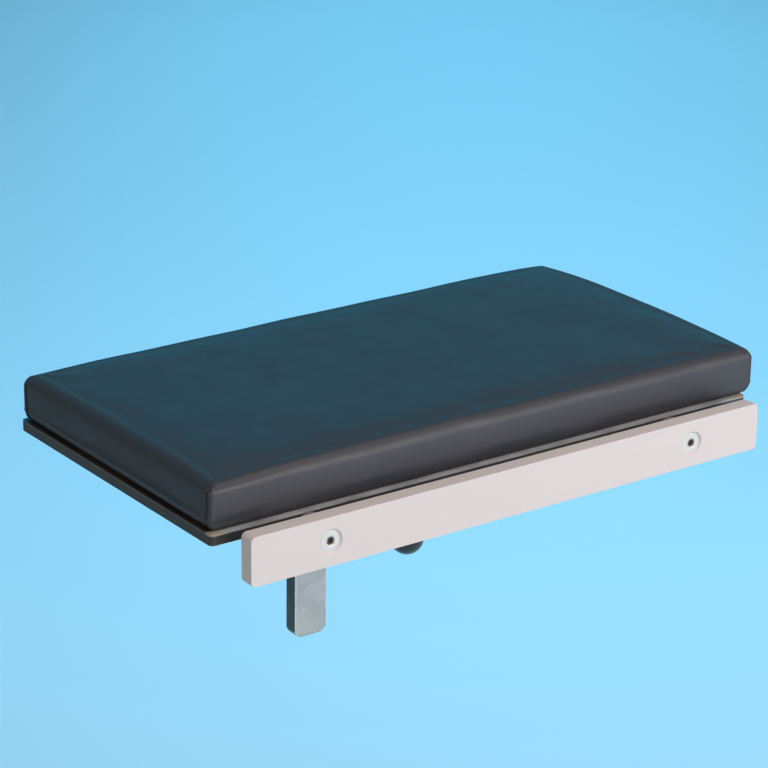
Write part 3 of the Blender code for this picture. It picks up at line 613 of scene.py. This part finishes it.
def make_rail_fixings():
    for side in ("left", "right"):
        flat_head_screw("rail_screw_" + side, Y_AXIS, SOCKET_RADIUS, SCREW_HEAD)
        node = "rail_spacer_" + side
        base, length = span_of(node, Y_AXIS)
        radius = radius_of(node, Y_AXIS, CAD_FINE)
        edge = SPACER_EDGE
        profile = [(SCREW_BORE, 0), (radius - edge, 0), (radius - edge * 0.3, edge * 0.3), (radius, edge)]
        profile += [(radius, length - edge), (radius - edge * 0.3, length - edge * 0.3)]
        profile += [(radius - edge, length), (SCREW_BORE, length)]
        settle(turned(node + "_fine", profile, base, Y_AXIS, ZINC), "frame", "zinc_bar", node)


make_rail()
make_rail_fixings()


# ---------------- board

BOARD_CORNER = 0.003
BOARD_EDGE = 0.0009
BOARD_SCREW_SOCKET = 0.0018
BOARD_BORE_DEPTH = 0.010
BOARD_BORE_SHARE = 0.55  # of the screw head's radius
NOTCH_CORNER = 0.0012
NOTCH_PAST = 0.002
BOARD_SCREWS = [n for n in sorted(NODES) if n.startswith(("arm_screw_", "clamp_screw_"))]


def make_board():
    low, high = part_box("base_board")
    outline = rounded_rectangle((low.x, low.y), (high.x, high.y), BOARD_CORNER)
    board = prism("board", outline, "XY", low.z, high.z, BOARD)
    for node in ("drop_leg", "end_plate_right"):
        plate_low, plate_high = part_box(node)
        near = (plate_low.x - FIT_GAP, low.y - NOTCH_PAST)
        far = (plate_high.x + FIT_GAP, plate_high.y + FIT_GAP)
        notch = rounded_rectangle(near, far, NOTCH_CORNER, 4)
        cut(board, prism("cutter", notch, "XY", low.z - NOTCH_PAST, plate_high.z + FIT_GAP))
    for node in BOARD_SCREWS:
        head = radius_of(node, Z_AXIS, CAD_COARSE) + FIT_GAP
        profile = countersunk_profile(head, head * BOARD_BORE_SHARE, BOARD_BORE_DEPTH)
        centre = centre_of(node)
        top = Vector((centre.x, centre.y, high.z))
        cut(board, turned("cutter", profile, top, -Z_AXIS, segments=BORE_ROUND))
    soften(board, BOARD_EDGE, 40)
    settle(board, "frame", "board", "base_board")


make_board()
for screw_node in BOARD_SCREWS:
    flat_head_screw(screw_node, -Z_AXIS, BOARD_SCREW_SOCKET, BRIGHT)


# ---------------- flat bars

LEG_CORNER = 0.005
END_PLATE_CORNER = 0.002
BAR_EDGE = 0.0008
WELD_SIZE = 0.0030
WELD_SINK = 0.0002  # into the arm and into the plate
WELD_END = 0.0008  # from the weld's end to the arm's side
WELD_STEPS = 46
WELD_POINTS = 7
WELD_RIPPLES = 11


def bar_finish(normal):
    """Which finish a bar's face has: 0 on the broad faces, 1 on the sheared ones, dark as painted shade, 2 on
    the arris between, bright steel as a painted highlight.
    """
    sideways = abs(normal.x)
    if sideways > 0.95:
        return 1
    if sideways > 0.2 and abs(normal.y) > 0.2:
        return 2
    return 0


def front_plate(node, side, corner, name):
    """The upright plate behind the rail that holds the rail's screw on one side."""
    low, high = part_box(node)
    outline = arc((low.x + corner, low.z + corner), corner, 180, 270, 10)
    outline += arc((high.x - corner, low.z + corner), corner, 270, 360, 10)
    outline += [(high.x, high.z), (low.x, high.z)]
    # the second finish paints shade on the sheared sides, the third a painted highlight on the arris
    plate = prism(name, outline, "XZ", low.y, high.y, ZINC, SHEARED_SHADE, BRIGHT)
    centre = centre_of("rail_spacer_" + side)
    bore = hole_profile(SCREW_BORE, SCREW_BORE_DEPTH)
    cut(plate, turned("cutter", bore, Vector((centre.x, low.y, centre.z)), Y_AXIS, segments=BORE_ROUND))
    soften(plate, BAR_EDGE, 40)
    for face in plate.data.polygons:
        face.material_index = bar_finish(face.normal)
    settle(plate, "frame", "zinc_bar", node)


def weld_bead(node, side):
    """The fillet weld under the joint of an arm and its upright plate."""
    arm_low, arm_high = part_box("arm_" + side)
    plate_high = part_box(node)[1]
    shape = bmesh.new()
    rings = []
    start = arm_low.x + WELD_END
    length = arm_high.x - arm_low.x - 2 * WELD_END
    for step in range(WELD_STEPS + 1):
        share = step / WELD_STEPS
        ripple = 1 + 0.10 * math.sin(share * math.pi * 2 * WELD_RIPPLES)
        taper = min(1.0, 0.35 + 9 * min(share, 1 - share))
        size = WELD_SIZE * ripple * taper
        corner = Vector((start + length * share, plate_high.y - WELD_SINK, arm_low.z + WELD_SINK))
        ring = [shape.verts.new(corner)]
        for i in range(WELD_POINTS):
            angle = math.pi / 2 * i / (WELD_POINTS - 1)
            bulge = size * (1 + 0.12 * math.sin(2 * angle)) * 0.86
            out = Vector((0, math.sin(angle), -math.cos(angle)))
            ring.append(shape.verts.new(corner + out * bulge))
        rings.append(ring)
    for first, second in zip(rings, rings[1:]):
        for i in range(WELD_POINTS + 1):
            j = (i + 1) % (WELD_POINTS + 1)
            shape.faces.new((first[i], first[j], second[j], second[i]))
    shape.faces.new(rings[0])
    shape.faces.new(rings[-1])
    bead = shade(from_bmesh("weld_" + side, shape, ZINC), 50)
    settle(bead, "frame", "zinc_bar")


front_plate("drop_leg", "left", LEG_CORNER, "drop_leg_fine")
front_plate("end_plate_right", "right", END_PLATE_CORNER, "end_plate_fine")
weld_bead("drop_leg", "left")
weld_bead("end_plate_right", "right")


# ---------------- clamp

CAP_SHANK_SHARE = 0.567  # of the head's radius
SMALL_CAP = 0.0034  # heads narrower than this are a little flatter
CAP_HEIGHTS = (0.95, 1.03)  # in head radii, on small and on large screws
KNOB_RADIUS = 0.0104
KNOB_FLAT = 0.0090  # from the ball's centre to its flat
KNOB_HOLE = 0.0072
KNOB_CHAMFER = 0.0003  # round the hole
KNOB_RIM = 0.0002  # round the flat
KNOB_ROWS = 40
ROD_RADIUS = 0.0040
ROD_EDGE = 0.0005
SHAFT_EDGE = 0.0006
PIN_EDGE = 0.0004
WASHER_BORE = 0.0063
WASHER_EDGE = 0.0002


def cap_screw(node):
    """A socket head cap screw where the CAD has its plain one, head down."""
    base, length = span_of(node, Z_AXIS)
    head = radius_of(node, Z_AXIS, CAD_COARSE)
    shank = head * CAP_SHANK_SHARE
    head_height = head * CAP_HEIGHTS[0 if head < SMALL_CAP else 1]
    rim = head * 0.10
    profile = [(0, 0)] + head_edge(head, rim)
    profile += [(head, head_height - rim * 0.3), (head - rim * 0.3, head_height)]
    profile += shank_profile(shank, head_height, length)
    screw = turned(node + "_fine", profile, base, Z_AXIS, BRIGHT, SOCKET)
    hex_socket(screw, base, Z_AXIS, shank * 0.8, head_height * 0.6)
    shade(screw, 30)
    settle(screw, "frame", "bright_steel", node)


def make_washer():
    base, height = span_of("spring_washer", Z_AXIS)
    radius = radius_of("spring_washer", Z_AXIS, CAD_FINE)
    profile = rod_profile(radius, height, WASHER_EDGE, WASHER_BORE)
    washer = turned("spring_washer_fine", profile, base, Z_AXIS, ZINC)
    settle(washer, "clamp_lever", "zinc_bar", "spring_washer")


def lever_line():
    """The lever rod's middle, its direction out to the knob, and its length."""
    low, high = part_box("lever_rod")
    depth = high.y - low.y
    height = high.z - low.z
    across = 2 * ROD_RADIUS
    slope = math.atan2(height - across, depth)
    for _ in range(6):  # the rod's thickness adds to its box, so the slope is found by steps
        slope = math.atan2(height - across * math.cos(slope), depth - across * math.sin(slope))
    along = Vector((0, -math.cos(slope), -math.sin(slope)))
    length = (depth - across * math.sin(slope)) / math.cos(slope)
    return (low + high) / 2, along, length


def make_lever():
    middle, along, length = lever_line()
    start = middle - along * length / 2
    rod = turned("lever_rod_fine", rod_profile(ROD_RADIUS, length, ROD_EDGE), start, along, BRIGHT)
    settle(rod, "clamp_lever", "bright_steel", "lever_rod")

    low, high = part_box("ball_knob")
    centre = Vector(((low.x + high.x) / 2, low.y + KNOB_RADIUS, low.z + KNOB_RADIUS))
    hole = ROD_RADIUS + FIT_GAP
    flat_angle = math.acos(KNOB_FLAT / KNOB_RADIUS)
    flat_radius = KNOB_RADIUS * math.sin(flat_angle)
    bottom = -KNOB_FLAT + KNOB_HOLE
    profile = [(0, bottom), (hole, bottom), (hole, -KNOB_FLAT + KNOB_CHAMFER)]
    profile += [(hole + KNOB_CHAMFER, -KNOB_FLAT), (flat_radius - KNOB_RIM, -KNOB_FLAT)]
    for row in range(KNOB_ROWS + 1):
        angle = flat_angle + (math.pi - flat_angle) * row / KNOB_ROWS
        profile.append((KNOB_RADIUS * math.sin(angle), -KNOB_RADIUS * math.cos(angle)))
    profile[-1] = (0, KNOB_RADIUS)
    knob = turned("knob_fine", profile, centre, along, KNOB)
    settle(knob, "clamp_lever", "knob", "ball_knob")


def make_shaft():
    base, length = span_of("clamp_shaft", Z_AXIS)
    radius = radius_of("clamp_shaft", Z_AXIS, CAD_FINE)
    profile = rod_profile(radius, length, SHAFT_EDGE)
    shaft = turned("clamp_shaft_fine", profile, base, Z_AXIS, BRIGHT)
    pin_radius = radius_of("hub_pin", X_AXIS, CAD_PIN)
    hole = hole_profile(pin_radius + FIT_GAP, radius * 2, radius * 2)
    cut(shaft, turned("cutter", hole, centre_of("hub_pin"), X_AXIS, segments=SMALL_ROUND))
    settle(shade(shaft, 30), "clamp_lever", "bright_steel", "clamp_shaft")

    base, length = span_of("hub_pin", X_AXIS)
    profile = rod_profile(pin_radius, length, PIN_EDGE)
    pin = turned("hub_pin_fine", profile, base, X_AXIS, BRIGHT, segments=SMALL_ROUND)
    settle(pin, "clamp_lever", "bright_steel", "hub_pin")


for screw_node in [n for n in sorted(NODES) if n.startswith(("hook_screw_", "bearing_screw_"))]:
    cap_screw(screw_node)
make_washer()
make_lever()
make_shaft()


# ---------------- cushion

SKIN_CORNER = 0.0021  # radius in plan
SKIN_EDGE = 0.0058  # radius along the top
SKIN_FOOT = 0.0012  # radius along the bottom
SKIN_INSET = 0.0003  # from the CAD's solid, as room for the swelling
SKIN_OUT_FRONT = 0.0013  # the vinyl stands this far proud of the solid in front
SKIN_OUT_RIGHT = 0.0020  # and at the right end
SKIN_DOWN = 0.0006
SWELL = 0.0004  # room for the swelling of the top
BELLY = 0.0005  # how far the walls bow out half-way up
CROWN = 0.0012
RIGHT_LIFT = 0.0020  # how much higher the top lies along the middle of its right edge
LEFT_DROP = (0.0026, 0.0010)  # how much lower the top lies at its left corners, front and back
RIGHT_DROP = (0.0012, 0.0027)  # and at its right corners

SKIN_ZONE = 0.0100  # the mesh is fine this far from the edges
SKIN_FINE_STEPS = 9
SKIN_STEP = 0.0050
SKIN_ROWS = 5  # of the mesh, round the top and bottom edges
SKIN_ROW = 0.0024  # height of the others
FOLD_REACH = 0.014  # the mesh is finer still this close to the upright corners

CLOTH_STEPS = 20
INFLATE_CAP = 0.0014
CLOTH = {
    "quality": 5,
    "mass": 0.35,
    "tension_stiffness": 22,
    "compression_stiffness": 22,
    "shear_stiffness": 8,
    "bending_stiffness": 1.5,
    "use_pressure": True,
    "uniform_pressure_force": 4.0,
}

MOUTH = 0.022  # how far the cover is turned under
MOUTH_RECESS = 0.0020
TUCK_HEIGHT = 0.0075  # below this the end walls run in under the foam
TUCK = (0.0022, 0.0046)  # how far, on the left and on the right
TUCK_RIDGE = 0.0058  # height of the faint ridge along them
RIDGE_DEPTH = 0.0004
PLEAT_OFFSET = 0.0020  # from the corner to the fold's edge, on the end faces
PLEAT_LEAN = 0.0016  # how much further in it starts at the bottom
PLEAT_DEPTH = 0.0022
PLEAT_TOP = 0.0045  # the fold dies out this far below the top
PINCH = 0.0006
WAVE_HEIGHT = 0.00016
RIPPLE_DEPTH = 0.00022


def grid_lines(low, high, zone, fine_steps, step):
    """Positions from low to high, close together near both ends."""
    edge = [zone * i / fine_steps for i in range(fine_steps)]
    inner_low, inner_high = low + zone, high - zone
    count = max(1, round((inner_high - inner_low) / step))
    inner = [inner_low + (inner_high - inner_low) * i / count for i in range(count + 1)]
    return [low + e for e in edge] + inner + [high - e for e in reversed(edge)]


def box_lattice(xs, ys, zs):
    """Vertices and faces of a box's surface, divided at the given positions."""
    top = (len(xs) - 1, len(ys) - 1, len(zs) - 1)
    index = {}
    points = []

    def vertex(i, j, k):
        key = (i, j, k)
        if key not in index:
            index[key] = len(points)
            points.append((xs[i], ys[j], zs[k]))
        return index[key]

    around = ((0, 0), (1, 0), (1, 1), (0, 1))
    faces = []
    for i in range(top[0]):
        for j in range(top[1]):
            for k in (0, top[2]):
                faces.append([vertex(i + a, j + b, k) for a, b in around])
    for i in range(top[0]):
        for k in range(top[2]):
            for j in (0, top[1]):
                faces.append([vertex(i + a, j, k + b) for a, b in around])
    for j in range(top[1]):
        for k in range(top[2]):
            for i in (0, top[0]):
                faces.append([vertex(i, j + a, k + b) for a, b in around])
    return np.array(points), faces


def round_plan(co, low, high):
    """Turns the box's square corners in plan into round ones."""
    for end_x, out_x in ((low.x, -1), (high.x, 1)):
        for end_y, out_y in ((low.y, -1), (high.y, 1)):
            cx = end_x - out_x * SKIN_CORNER
            cy = end_y - out_y * SKIN_CORNER
            dx = (co[:, 0] - cx) * out_x
            dy = (co[:, 1] - cy) * out_y
            inside = (dx > 0) & (dy > 0)
            reach = np.maximum(dx, dy)[inside] / np.hypot(dx, dy)[inside]
            co[inside, 0] = cx + (co[inside, 0] - cx) * reach
            co[inside, 1] = cy + (co[inside, 1] - cy) * reach


def bow_walls(co, low, high):
    """Bows the four walls out, most half-way up and half-way along."""
    level = 2 * (co[:, 2] - low.z) / (high.z - low.z) - 1
    middle = (low + high) / 2
    for axis, across in ((0, 1), (1, 0)):
        along = (co[:, across] - middle[across]) / (high[across] - middle[across])
        bow = BELLY * (1 - level**2) * (1 - 0.5 * np.abs(along) ** 4)
        for end, out in ((low[axis], -1), (high[axis], 1)):
            on_wall = np.abs(co[:, axis] - end) < 1e-6
            co[on_wall, axis] += out * bow[on_wall]


def rim_distance(co, low, high):
    """How far each point lies inside the rounded outline, and the way in from the outline."""
    centre_x = np.clip(co[:, 0], low.x + SKIN_CORNER, high.x - SKIN_CORNER)
    centre_y = np.clip(co[:, 1], low.y + SKIN_CORNER, high.y - SKIN_CORNER)
    d = np.stack([co[:, 0] - centre_x, co[:, 1] - centre_y], 1)
    length = np.hypot(d[:, 0], d[:, 1])
    corner = (np.abs(d[:, 0]) > 1e-9) & (np.abs(d[:, 1]) > 1e-9)
    to_sides = np.stack([co[:, 0] - low.x, high.x - co[:, 0], co[:, 1] - low.y, high.y - co[:, 1]], 1)
    nearest = to_sides.argmin(1)
    inward = np.array([[1, 0], [-1, 0], [0, 1], [0, -1]], float)[nearest]
    distance = to_sides.min(1)
    distance[corner] = SKIN_CORNER - length[corner]
    inward[corner] = -d[corner] / length[corner, None]
    return distance, inward


def round_rims(co, low, high):
    """Rounds the edges along the top and the bottom."""
    middle = (low.z + high.z) / 2
    for radius, sign, level in ((SKIN_EDGE, 1, high.z), (SKIN_FOOT, -1, low.z)):
        distance, inward = rim_distance(co, low, high)
        ds = radius - distance
        dz = radius - (level - co[:, 2]) * sign
        touched = (ds > 0) & (dz > 0) & ((co[:, 2] - middle) * sign > 0)
        share = np.maximum(ds, dz)[touched] / np.maximum(np.hypot(ds, dz)[touched], 1e-9)
        shift = ds[touched] * (1 - share)
        co[touched, :2] += inward[touched] * shift[:, None]
        co[touched, 2] = level - sign * (radius - dz[touched] * share)


def inflate(piece, held):
    """Swells the cover by cloth simulation and returns its points. They only go outwards, up to a cap."""
    rest = np.array([v.co for v in piece.data.vertices])
    group = piece.vertex_groups.new(name="held")
    group.add([int(i) for i in held], 1.0, "REPLACE")
    cloth = piece.modifiers.new("cloth", "CLOTH")
    for setting, value in CLOTH.items():
        setattr(cloth.settings, setting, value)
    cloth.settings.vertex_group_mass = "held"
    cloth.settings.effector_weights.gravity = 0.0
    cloth.collision_settings.use_collision = False
    scene = bpy.context.scene
    for number in range(1, CLOTH_STEPS + 1):
        scene.frame_set(number)
    graph = bpy.context.evaluated_depsgraph_get()
    swollen = piece.evaluated_get(graph).to_mesh()
    now = np.array([v.co for v in swollen.vertices])
    piece.evaluated_get(graph).to_mesh_clear()
    piece.modifiers.remove(cloth)
    piece.vertex_groups.clear()
    scene.frame_set(1)
    moved = now - rest
    length = np.linalg.norm(moved, axis=1)
    limited = INFLATE_CAP * np.tanh(length / INFLATE_CAP)
    moved *= (limited / np.maximum(length, 1e-9))[:, None]
    normals = np.array([v.normal for v in piece.data.vertices])
    inward = np.minimum((moved * normals).sum(1), 0)
    return rest + moved - normals * inward[:, None]


def set_points(piece, co):
    piece.data.vertices.foreach_set("co", co.astype(np.float32).ravel())
    piece.data.update()


def get_points(piece):
    co = np.zeros(len(piece.data.vertices) * 3, np.float32)
    piece.data.vertices.foreach_get("co", co)
    return co.reshape(-1, 3).astype(float)


def step_up(value, start, end):
    """0 before the start, 1 after the end, and smooth between."""
    t = np.clip((value - start) / (end - start), 0, 1)
    return t * t * (3 - 2 * t)


def hump(value, centre, width):
    """1 at the centre, fading to 0 on both sides."""
    return np.exp(-(((value - centre) / width) ** 2))


def refine_corners(piece, low, high):
    """Divides the faces near the four upright corners once more, so that the folds there are crisp."""
    shape = bmesh.new()
    shape.from_mesh(piece.data)

    def near(point):
        across = min(point.x - low.x, high.x - point.x)
        along = min(point.y - low.y, high.y - point.y)
        return across < FOLD_REACH and along < FOLD_REACH

    edges = [e for e in shape.edges if near((e.verts[0].co + e.verts[1].co) / 2)]
    bmesh.ops.subdivide_edges(shape, edges=edges, cuts=1, use_grid_fill=True, smooth=0.0)
    shape.to_mesh(piece.data)
    shape.free()


def fold_corners(co, low, high):
    """At each upright corner the front or back panel wraps round and ends in a fold on the end face."""
    height = high.z - low.z
    up = (co[:, 2] - low.z) / height
    fade = step_up(high.z - co[:, 2], PLEAT_TOP * 0.4, PLEAT_TOP * 1.6)
    for face_x, out in ((low.x, -1), (high.x, 1)):
        on_end = step_up((co[:, 0] - face_x) * out, -0.0032, -0.0008)
        for corner_y, inward in ((low.y, 1), (high.y, -1)):
            along = (co[:, 1] - corner_y) * inward
            lean = PLEAT_OFFSET + PLEAT_LEAN * (1 - up) + 0.0003 * np.sin(up * 9)
            groove = hump(along, lean + 0.0006, 0.0008)
            ledge = 1 - step_up(along, lean - 0.0006, lean + 0.0002)
            near = on_end * ((along > -0.002) & (along < 0.02))
            co[:, 0] += out * (0.25 * ledge - groove) * PLEAT_DEPTH * fade * near
            co[:, 2] -= PINCH * hump(along, lean, 0.004) * hump(high.z - co[:, 2], 0.003, 0.0035) * near


def handling_waves(co, low, high):
    """The slight unevenness of hand-stretched vinyl: slow waves, strongest towards the rims."""
    x, y, z = co[:, 0], co[:, 1], co[:, 2]
    wave = (
        np.sin(x * 41 + 1.3) * np.sin(y * 57 + 0.4)
        + 0.6 * np.sin(x * 97 + y * 31 + 2.0)
        + 0.5 * np.sin(x * 23 - y * 88 + 0.7)
    )
    distance, inward = rim_distance(co, low, high)
    on_top = step_up(z, high.z - 0.006, high.z - 0.001)
    on_wall = (1 - step_up(distance, 0.0015, 0.005)) * (1 - on_top) * step_up(z, low.z + 0.003, low.z + 0.008)
    co[:, 2] += WAVE_HEIGHT * wave * on_top
    ripple = np.sin(x * 63 + 0.5) + 0.7 * np.sin(y * 71 + 1.0) + 0.4 * np.sin(x * 151 + y * 133)
    co[:, :2] -= inward * (RIPPLE_DEPTH * ripple * on_wall)[:, None]


def tuck_ends(co, low, high):
    """Low on the end walls the cover runs in under the foam, with a faint ridge where it starts."""
    height = co[:, 2] - low.z
    under = np.clip((TUCK_HEIGHT - height) / TUCK_HEIGHT, 0, 1)
    under = 1 - np.sqrt(1 - 0.96 * under**2)
    ridge = hump(height, TUCK_RIDGE, 0.0009)
    for face_x, out, tuck in ((low.x, -1, TUCK[0]), (high.x, 1, TUCK[1])):
        near = step_up((co[:, 0] - face_x) * out, -0.0045, -0.0015)
        co[:, 0] += out * near * (RIDGE_DEPTH * ridge - tuck * under)


def crown_top(co, low, high):
    """Raises the top to a crown, lifts the middle of its right edge and lets its corners drop."""
    u = 2 * (co[:, 0] - low.x) / (high.x - low.x) - 1
    v = 2 * (co[:, 1] - low.y) / (high.y - low.y) - 1
    arch = np.clip(1 - np.abs(u) ** 6, 0, 1) * np.clip(1 - np.abs(v) ** 4, 0, 1)
    left_drop = np.where(v < 0, LEFT_DROP[0], LEFT_DROP[1]) * np.abs(u) ** 3
    right_drop = np.where(v < 0, RIGHT_DROP[0], RIGHT_DROP[1]) * np.abs(u) ** 9
    lift = RIGHT_LIFT * np.clip(u, 0, 1) ** 3 * (1 - np.abs(v) ** 2.5)
    rise = CROWN * arch - np.where(u < 0, left_drop, right_drop) * np.abs(v) ** 3 + lift
    co[:, 2] += rise * step_up(co[:, 2], high.z - 0.006, high.z - 0.001)


def make_cushion():
    """A box of vinyl, swollen, crowned, tucked in and folded, riding on the cushion body."""
    low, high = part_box("cushion_cover")
    skin_low = low + Vector((SKIN_INSET, -SKIN_OUT_FRONT, -SKIN_DOWN))
    skin_high = high - Vector((-SKIN_OUT_RIGHT, SKIN_INSET, CROWN + SKIN_INSET + SWELL))
    xs = grid_lines(skin_low.x, skin_high.x, SKIN_ZONE, SKIN_FINE_STEPS, SKIN_STEP)
    ys = grid_lines(skin_low.y, skin_high.y, SKIN_ZONE, SKIN_FINE_STEPS, SKIN_STEP)
    zs = grid_lines(skin_low.z, skin_high.z, SKIN_EDGE * 1.6, SKIN_ROWS, SKIN_ROW)
    co, faces = box_lattice(xs, ys, zs)
    round_plan(co, skin_low, skin_high)
    bow_walls(co, skin_low, skin_high)
    round_rims(co, skin_low, skin_high)
    shape = bmesh.new()
    vertices = [shape.verts.new(p) for p in co]
    for face in faces:
        shape.faces.new([vertices[i] for i in face])
    cushion = from_bmesh("cushion", shape, VINYL)

    held = np.nonzero(get_points(cushion)[:, 2] < skin_low.z + SKIN_FOOT * 0.8)[0]
    set_points(cushion, inflate(cushion, held))

    co = get_points(cushion)
    crown_top(co, skin_low, skin_high)
    set_points(cushion, co)

    smooth = cushion.modifiers.new("smooth", "SUBSURF")
    smooth.levels = smooth.render_levels = 1
    apply_modifiers(cushion)
    refine_corners(cushion, skin_low, skin_high)
    co = get_points(cushion)
    tuck_ends(co, skin_low, skin_high)
    fold_corners(co, skin_low, skin_high)
    handling_waves(co, skin_low, skin_high)
    set_points(cushion, co)
    open_underside(cushion, skin_low, skin_high)
    cushion.data.shade_smooth()
    settle(cushion, "cushion", "vinyl", "cushion_cover", "cushion_foam")


def open_underside(cushion, low, high):
    """Recesses the underside inside the turned-under edge, so that the stiffener shows there."""
    shape = bmesh.new()
    shape.from_mesh(cushion.data)

    def in_mouth(point):
        across = low.x + MOUTH < point.x < high.x - MOUTH
        along = low.y + MOUTH < point.y < high.y - MOUTH
        return across and along and point.z < low.z + 0.002

    inside = [f for f in shape.faces if in_mouth(f.calc_center_median())]
    made = bmesh.ops.extrude_face_region(shape, geom=inside)
    lifted = [g for g in made["geom"] if isinstance(g, bmesh.types.BMVert)]
    bmesh.ops.translate(shape, verts=lifted, vec=(0, 0, MOUTH_RECESS))
    bmesh.ops.delete(shape, geom=inside, context="FACES")
    bmesh.ops.recalc_face_normals(shape, faces=shape.faces[:])
    shape.to_mesh(cushion.data)
    shape.free()


make_cushion()


# ---------------- finishes of the CAD nodes that stay

FINISHES = (
    (("arm_", "shaft_nut"), ZINC),
    (("hook_left", "hook_right", "bearing_left", "bearing_right"), STEEL),
    (("clamp_body", "swing_toe", "lever_hub"), STEEL),
    (("clamp_bush_",), BRONZE),
    (("bearing_pad_", "clamp_seat"), NYLON),
    (("hook_strip_",), HOOKS),
    (("loop_strip_",), LOOPS),
    (("cushion_stiffener",), HARDBOARD),
    (("clamp_spring",), BRIGHT),
)
SOFTENED = (
    (("arm_", "hook_left", "hook_right", "bearing_"), 0.0003),
    (("clamp_body",), 0.0004),
)


def finish_nodes():
    for name, node in NODES.items():
        for starts, finish in FINISHES:
            if name.startswith(starts):
                node.data.materials.clear()
                node.data.materials.append(finish)
        for starts, width in SOFTENED:
            if name.startswith(starts) and not node.hide_render:
                round_edges(node, width, 2, 30)


finish_nodes()


# ---------------- floor and light

FLOOR_Z = -0.70
FLOOR_COLOUR = (0.50, 0.75, 0.86)
FLOOR_SIZE = 40.0
WORLD_NEUTRAL = (0.15, 0.15, 0.15)
WORLD_BEHIND = (0.02, 0.50, 0.78)
BEHIND_FROM = (0.25, 0.75)  # cosine of the angle off straight behind, where the blue starts and is full
BEHIND_BELOW = (0.85, 0.45)  # and the sine of the height above the horizon
WASH_PLACE = (1.83, 2.15, 1.7)
WASH_SPREAD = 60


def make_floor():
    paint = Paint("pale_floor", 0.9)
    paint.colour(FLOOR_COLOUR)
    shape = bmesh.new()
    bmesh.ops.create_grid(shape, x_segments=1, y_segments=1, size=FLOOR_SIZE)
    floor = from_bmesh("floor", shape, paint.material)
    floor.location.z = FLOOR_Z


def area_light(name, place, target, size, power, colour, turn=0):
    """A rectangular lamp that looks at a target, and is then turned clockwise by some degrees."""
    light = bpy.data.lights.new(name, "AREA")
    light.shape = "RECTANGLE"
    light.size, light.size_y = size
    light.energy = power
    light.color = colour
    lamp = bpy.data.objects.new(name, light)
    lamp.location = place
    lamp.rotation_mode = "QUATERNION"
    aim = (Vector(target) - Vector(place)).to_track_quat("-Z", "Y")
    lamp.rotation_quaternion = Quaternion(Z_AXIS, math.radians(-turn)) @ aim
    bpy.context.scene.collection.objects.link(lamp)
    return lamp


def make_world():
    """Neutral above and in front, sky blue low down behind the object as the camera sees it."""
    world = bpy.data.worlds.new("studio")
    world.use_nodes = True
    sky = Nodes(world.node_tree)
    direction = sky.node("ShaderNodeTexCoord").outputs["Generated"]
    yaw = math.radians(CAMERA_YAW)
    inputs = {0: direction, 1: (math.sin(yaw), math.cos(yaw), 0)}
    away = sky.node("ShaderNodeVectorMath", inputs, operation="DOT_PRODUCT").outputs["Value"]
    height = sky.node("ShaderNodeSeparateXYZ", {0: direction}).outputs["Z"]
    behind = sky.maths("MULTIPLY", sky.spread(away, *BEHIND_FROM), sky.spread(height, *BEHIND_BELOW))
    colour = sky.mix(behind, WORLD_NEUTRAL, WORLD_BEHIND)
    sky.tree.links.new(colour, sky.tree.nodes["Background"].inputs["Color"])
    bpy.context.scene.world = world


def make_light():
    """Four soft lamps on the object, and one over the floor behind it that makes the backdrop bright."""
    area_light("key", (0.8, -2.4, 1.05), (0, -0.15, 0.02), (1.8, 1.7), 40.0, (1.0, 0.92, 0.90))
    area_light("top", (0.2, -0.9, 2.3), (0, -0.1, 0.02), (1.6, 1.2), 24.0, (1.0, 0.93, 0.90))
    area_light("left", (-2.4, -0.5, 0.8), (0, -0.1, 0.02), (1.0, 1.0), 17.0, (1.0, 0.86, 0.78))
    area_light("front", (1.0, -2.9, -0.1), (0, -0.15, 0.03), (3.2, 0.9), 42.5, (0.95, 0.93, 1.03))
    below = (*WASH_PLACE[:2], FLOOR_Z)
    wash = area_light("floor_wash", WASH_PLACE, below, (2.2, 4.4), 28.5, (0.18, 0.60, 0.85), CAMERA_YAW)
    wash.data.spread = math.radians(WASH_SPREAD)
    wash.visible_glossy = False  # the vinyl mirrors the backdrop, not this lamp


make_floor()
make_world()
make_light()
bpy.context.scene.view_settings.view_transform = "Standard"
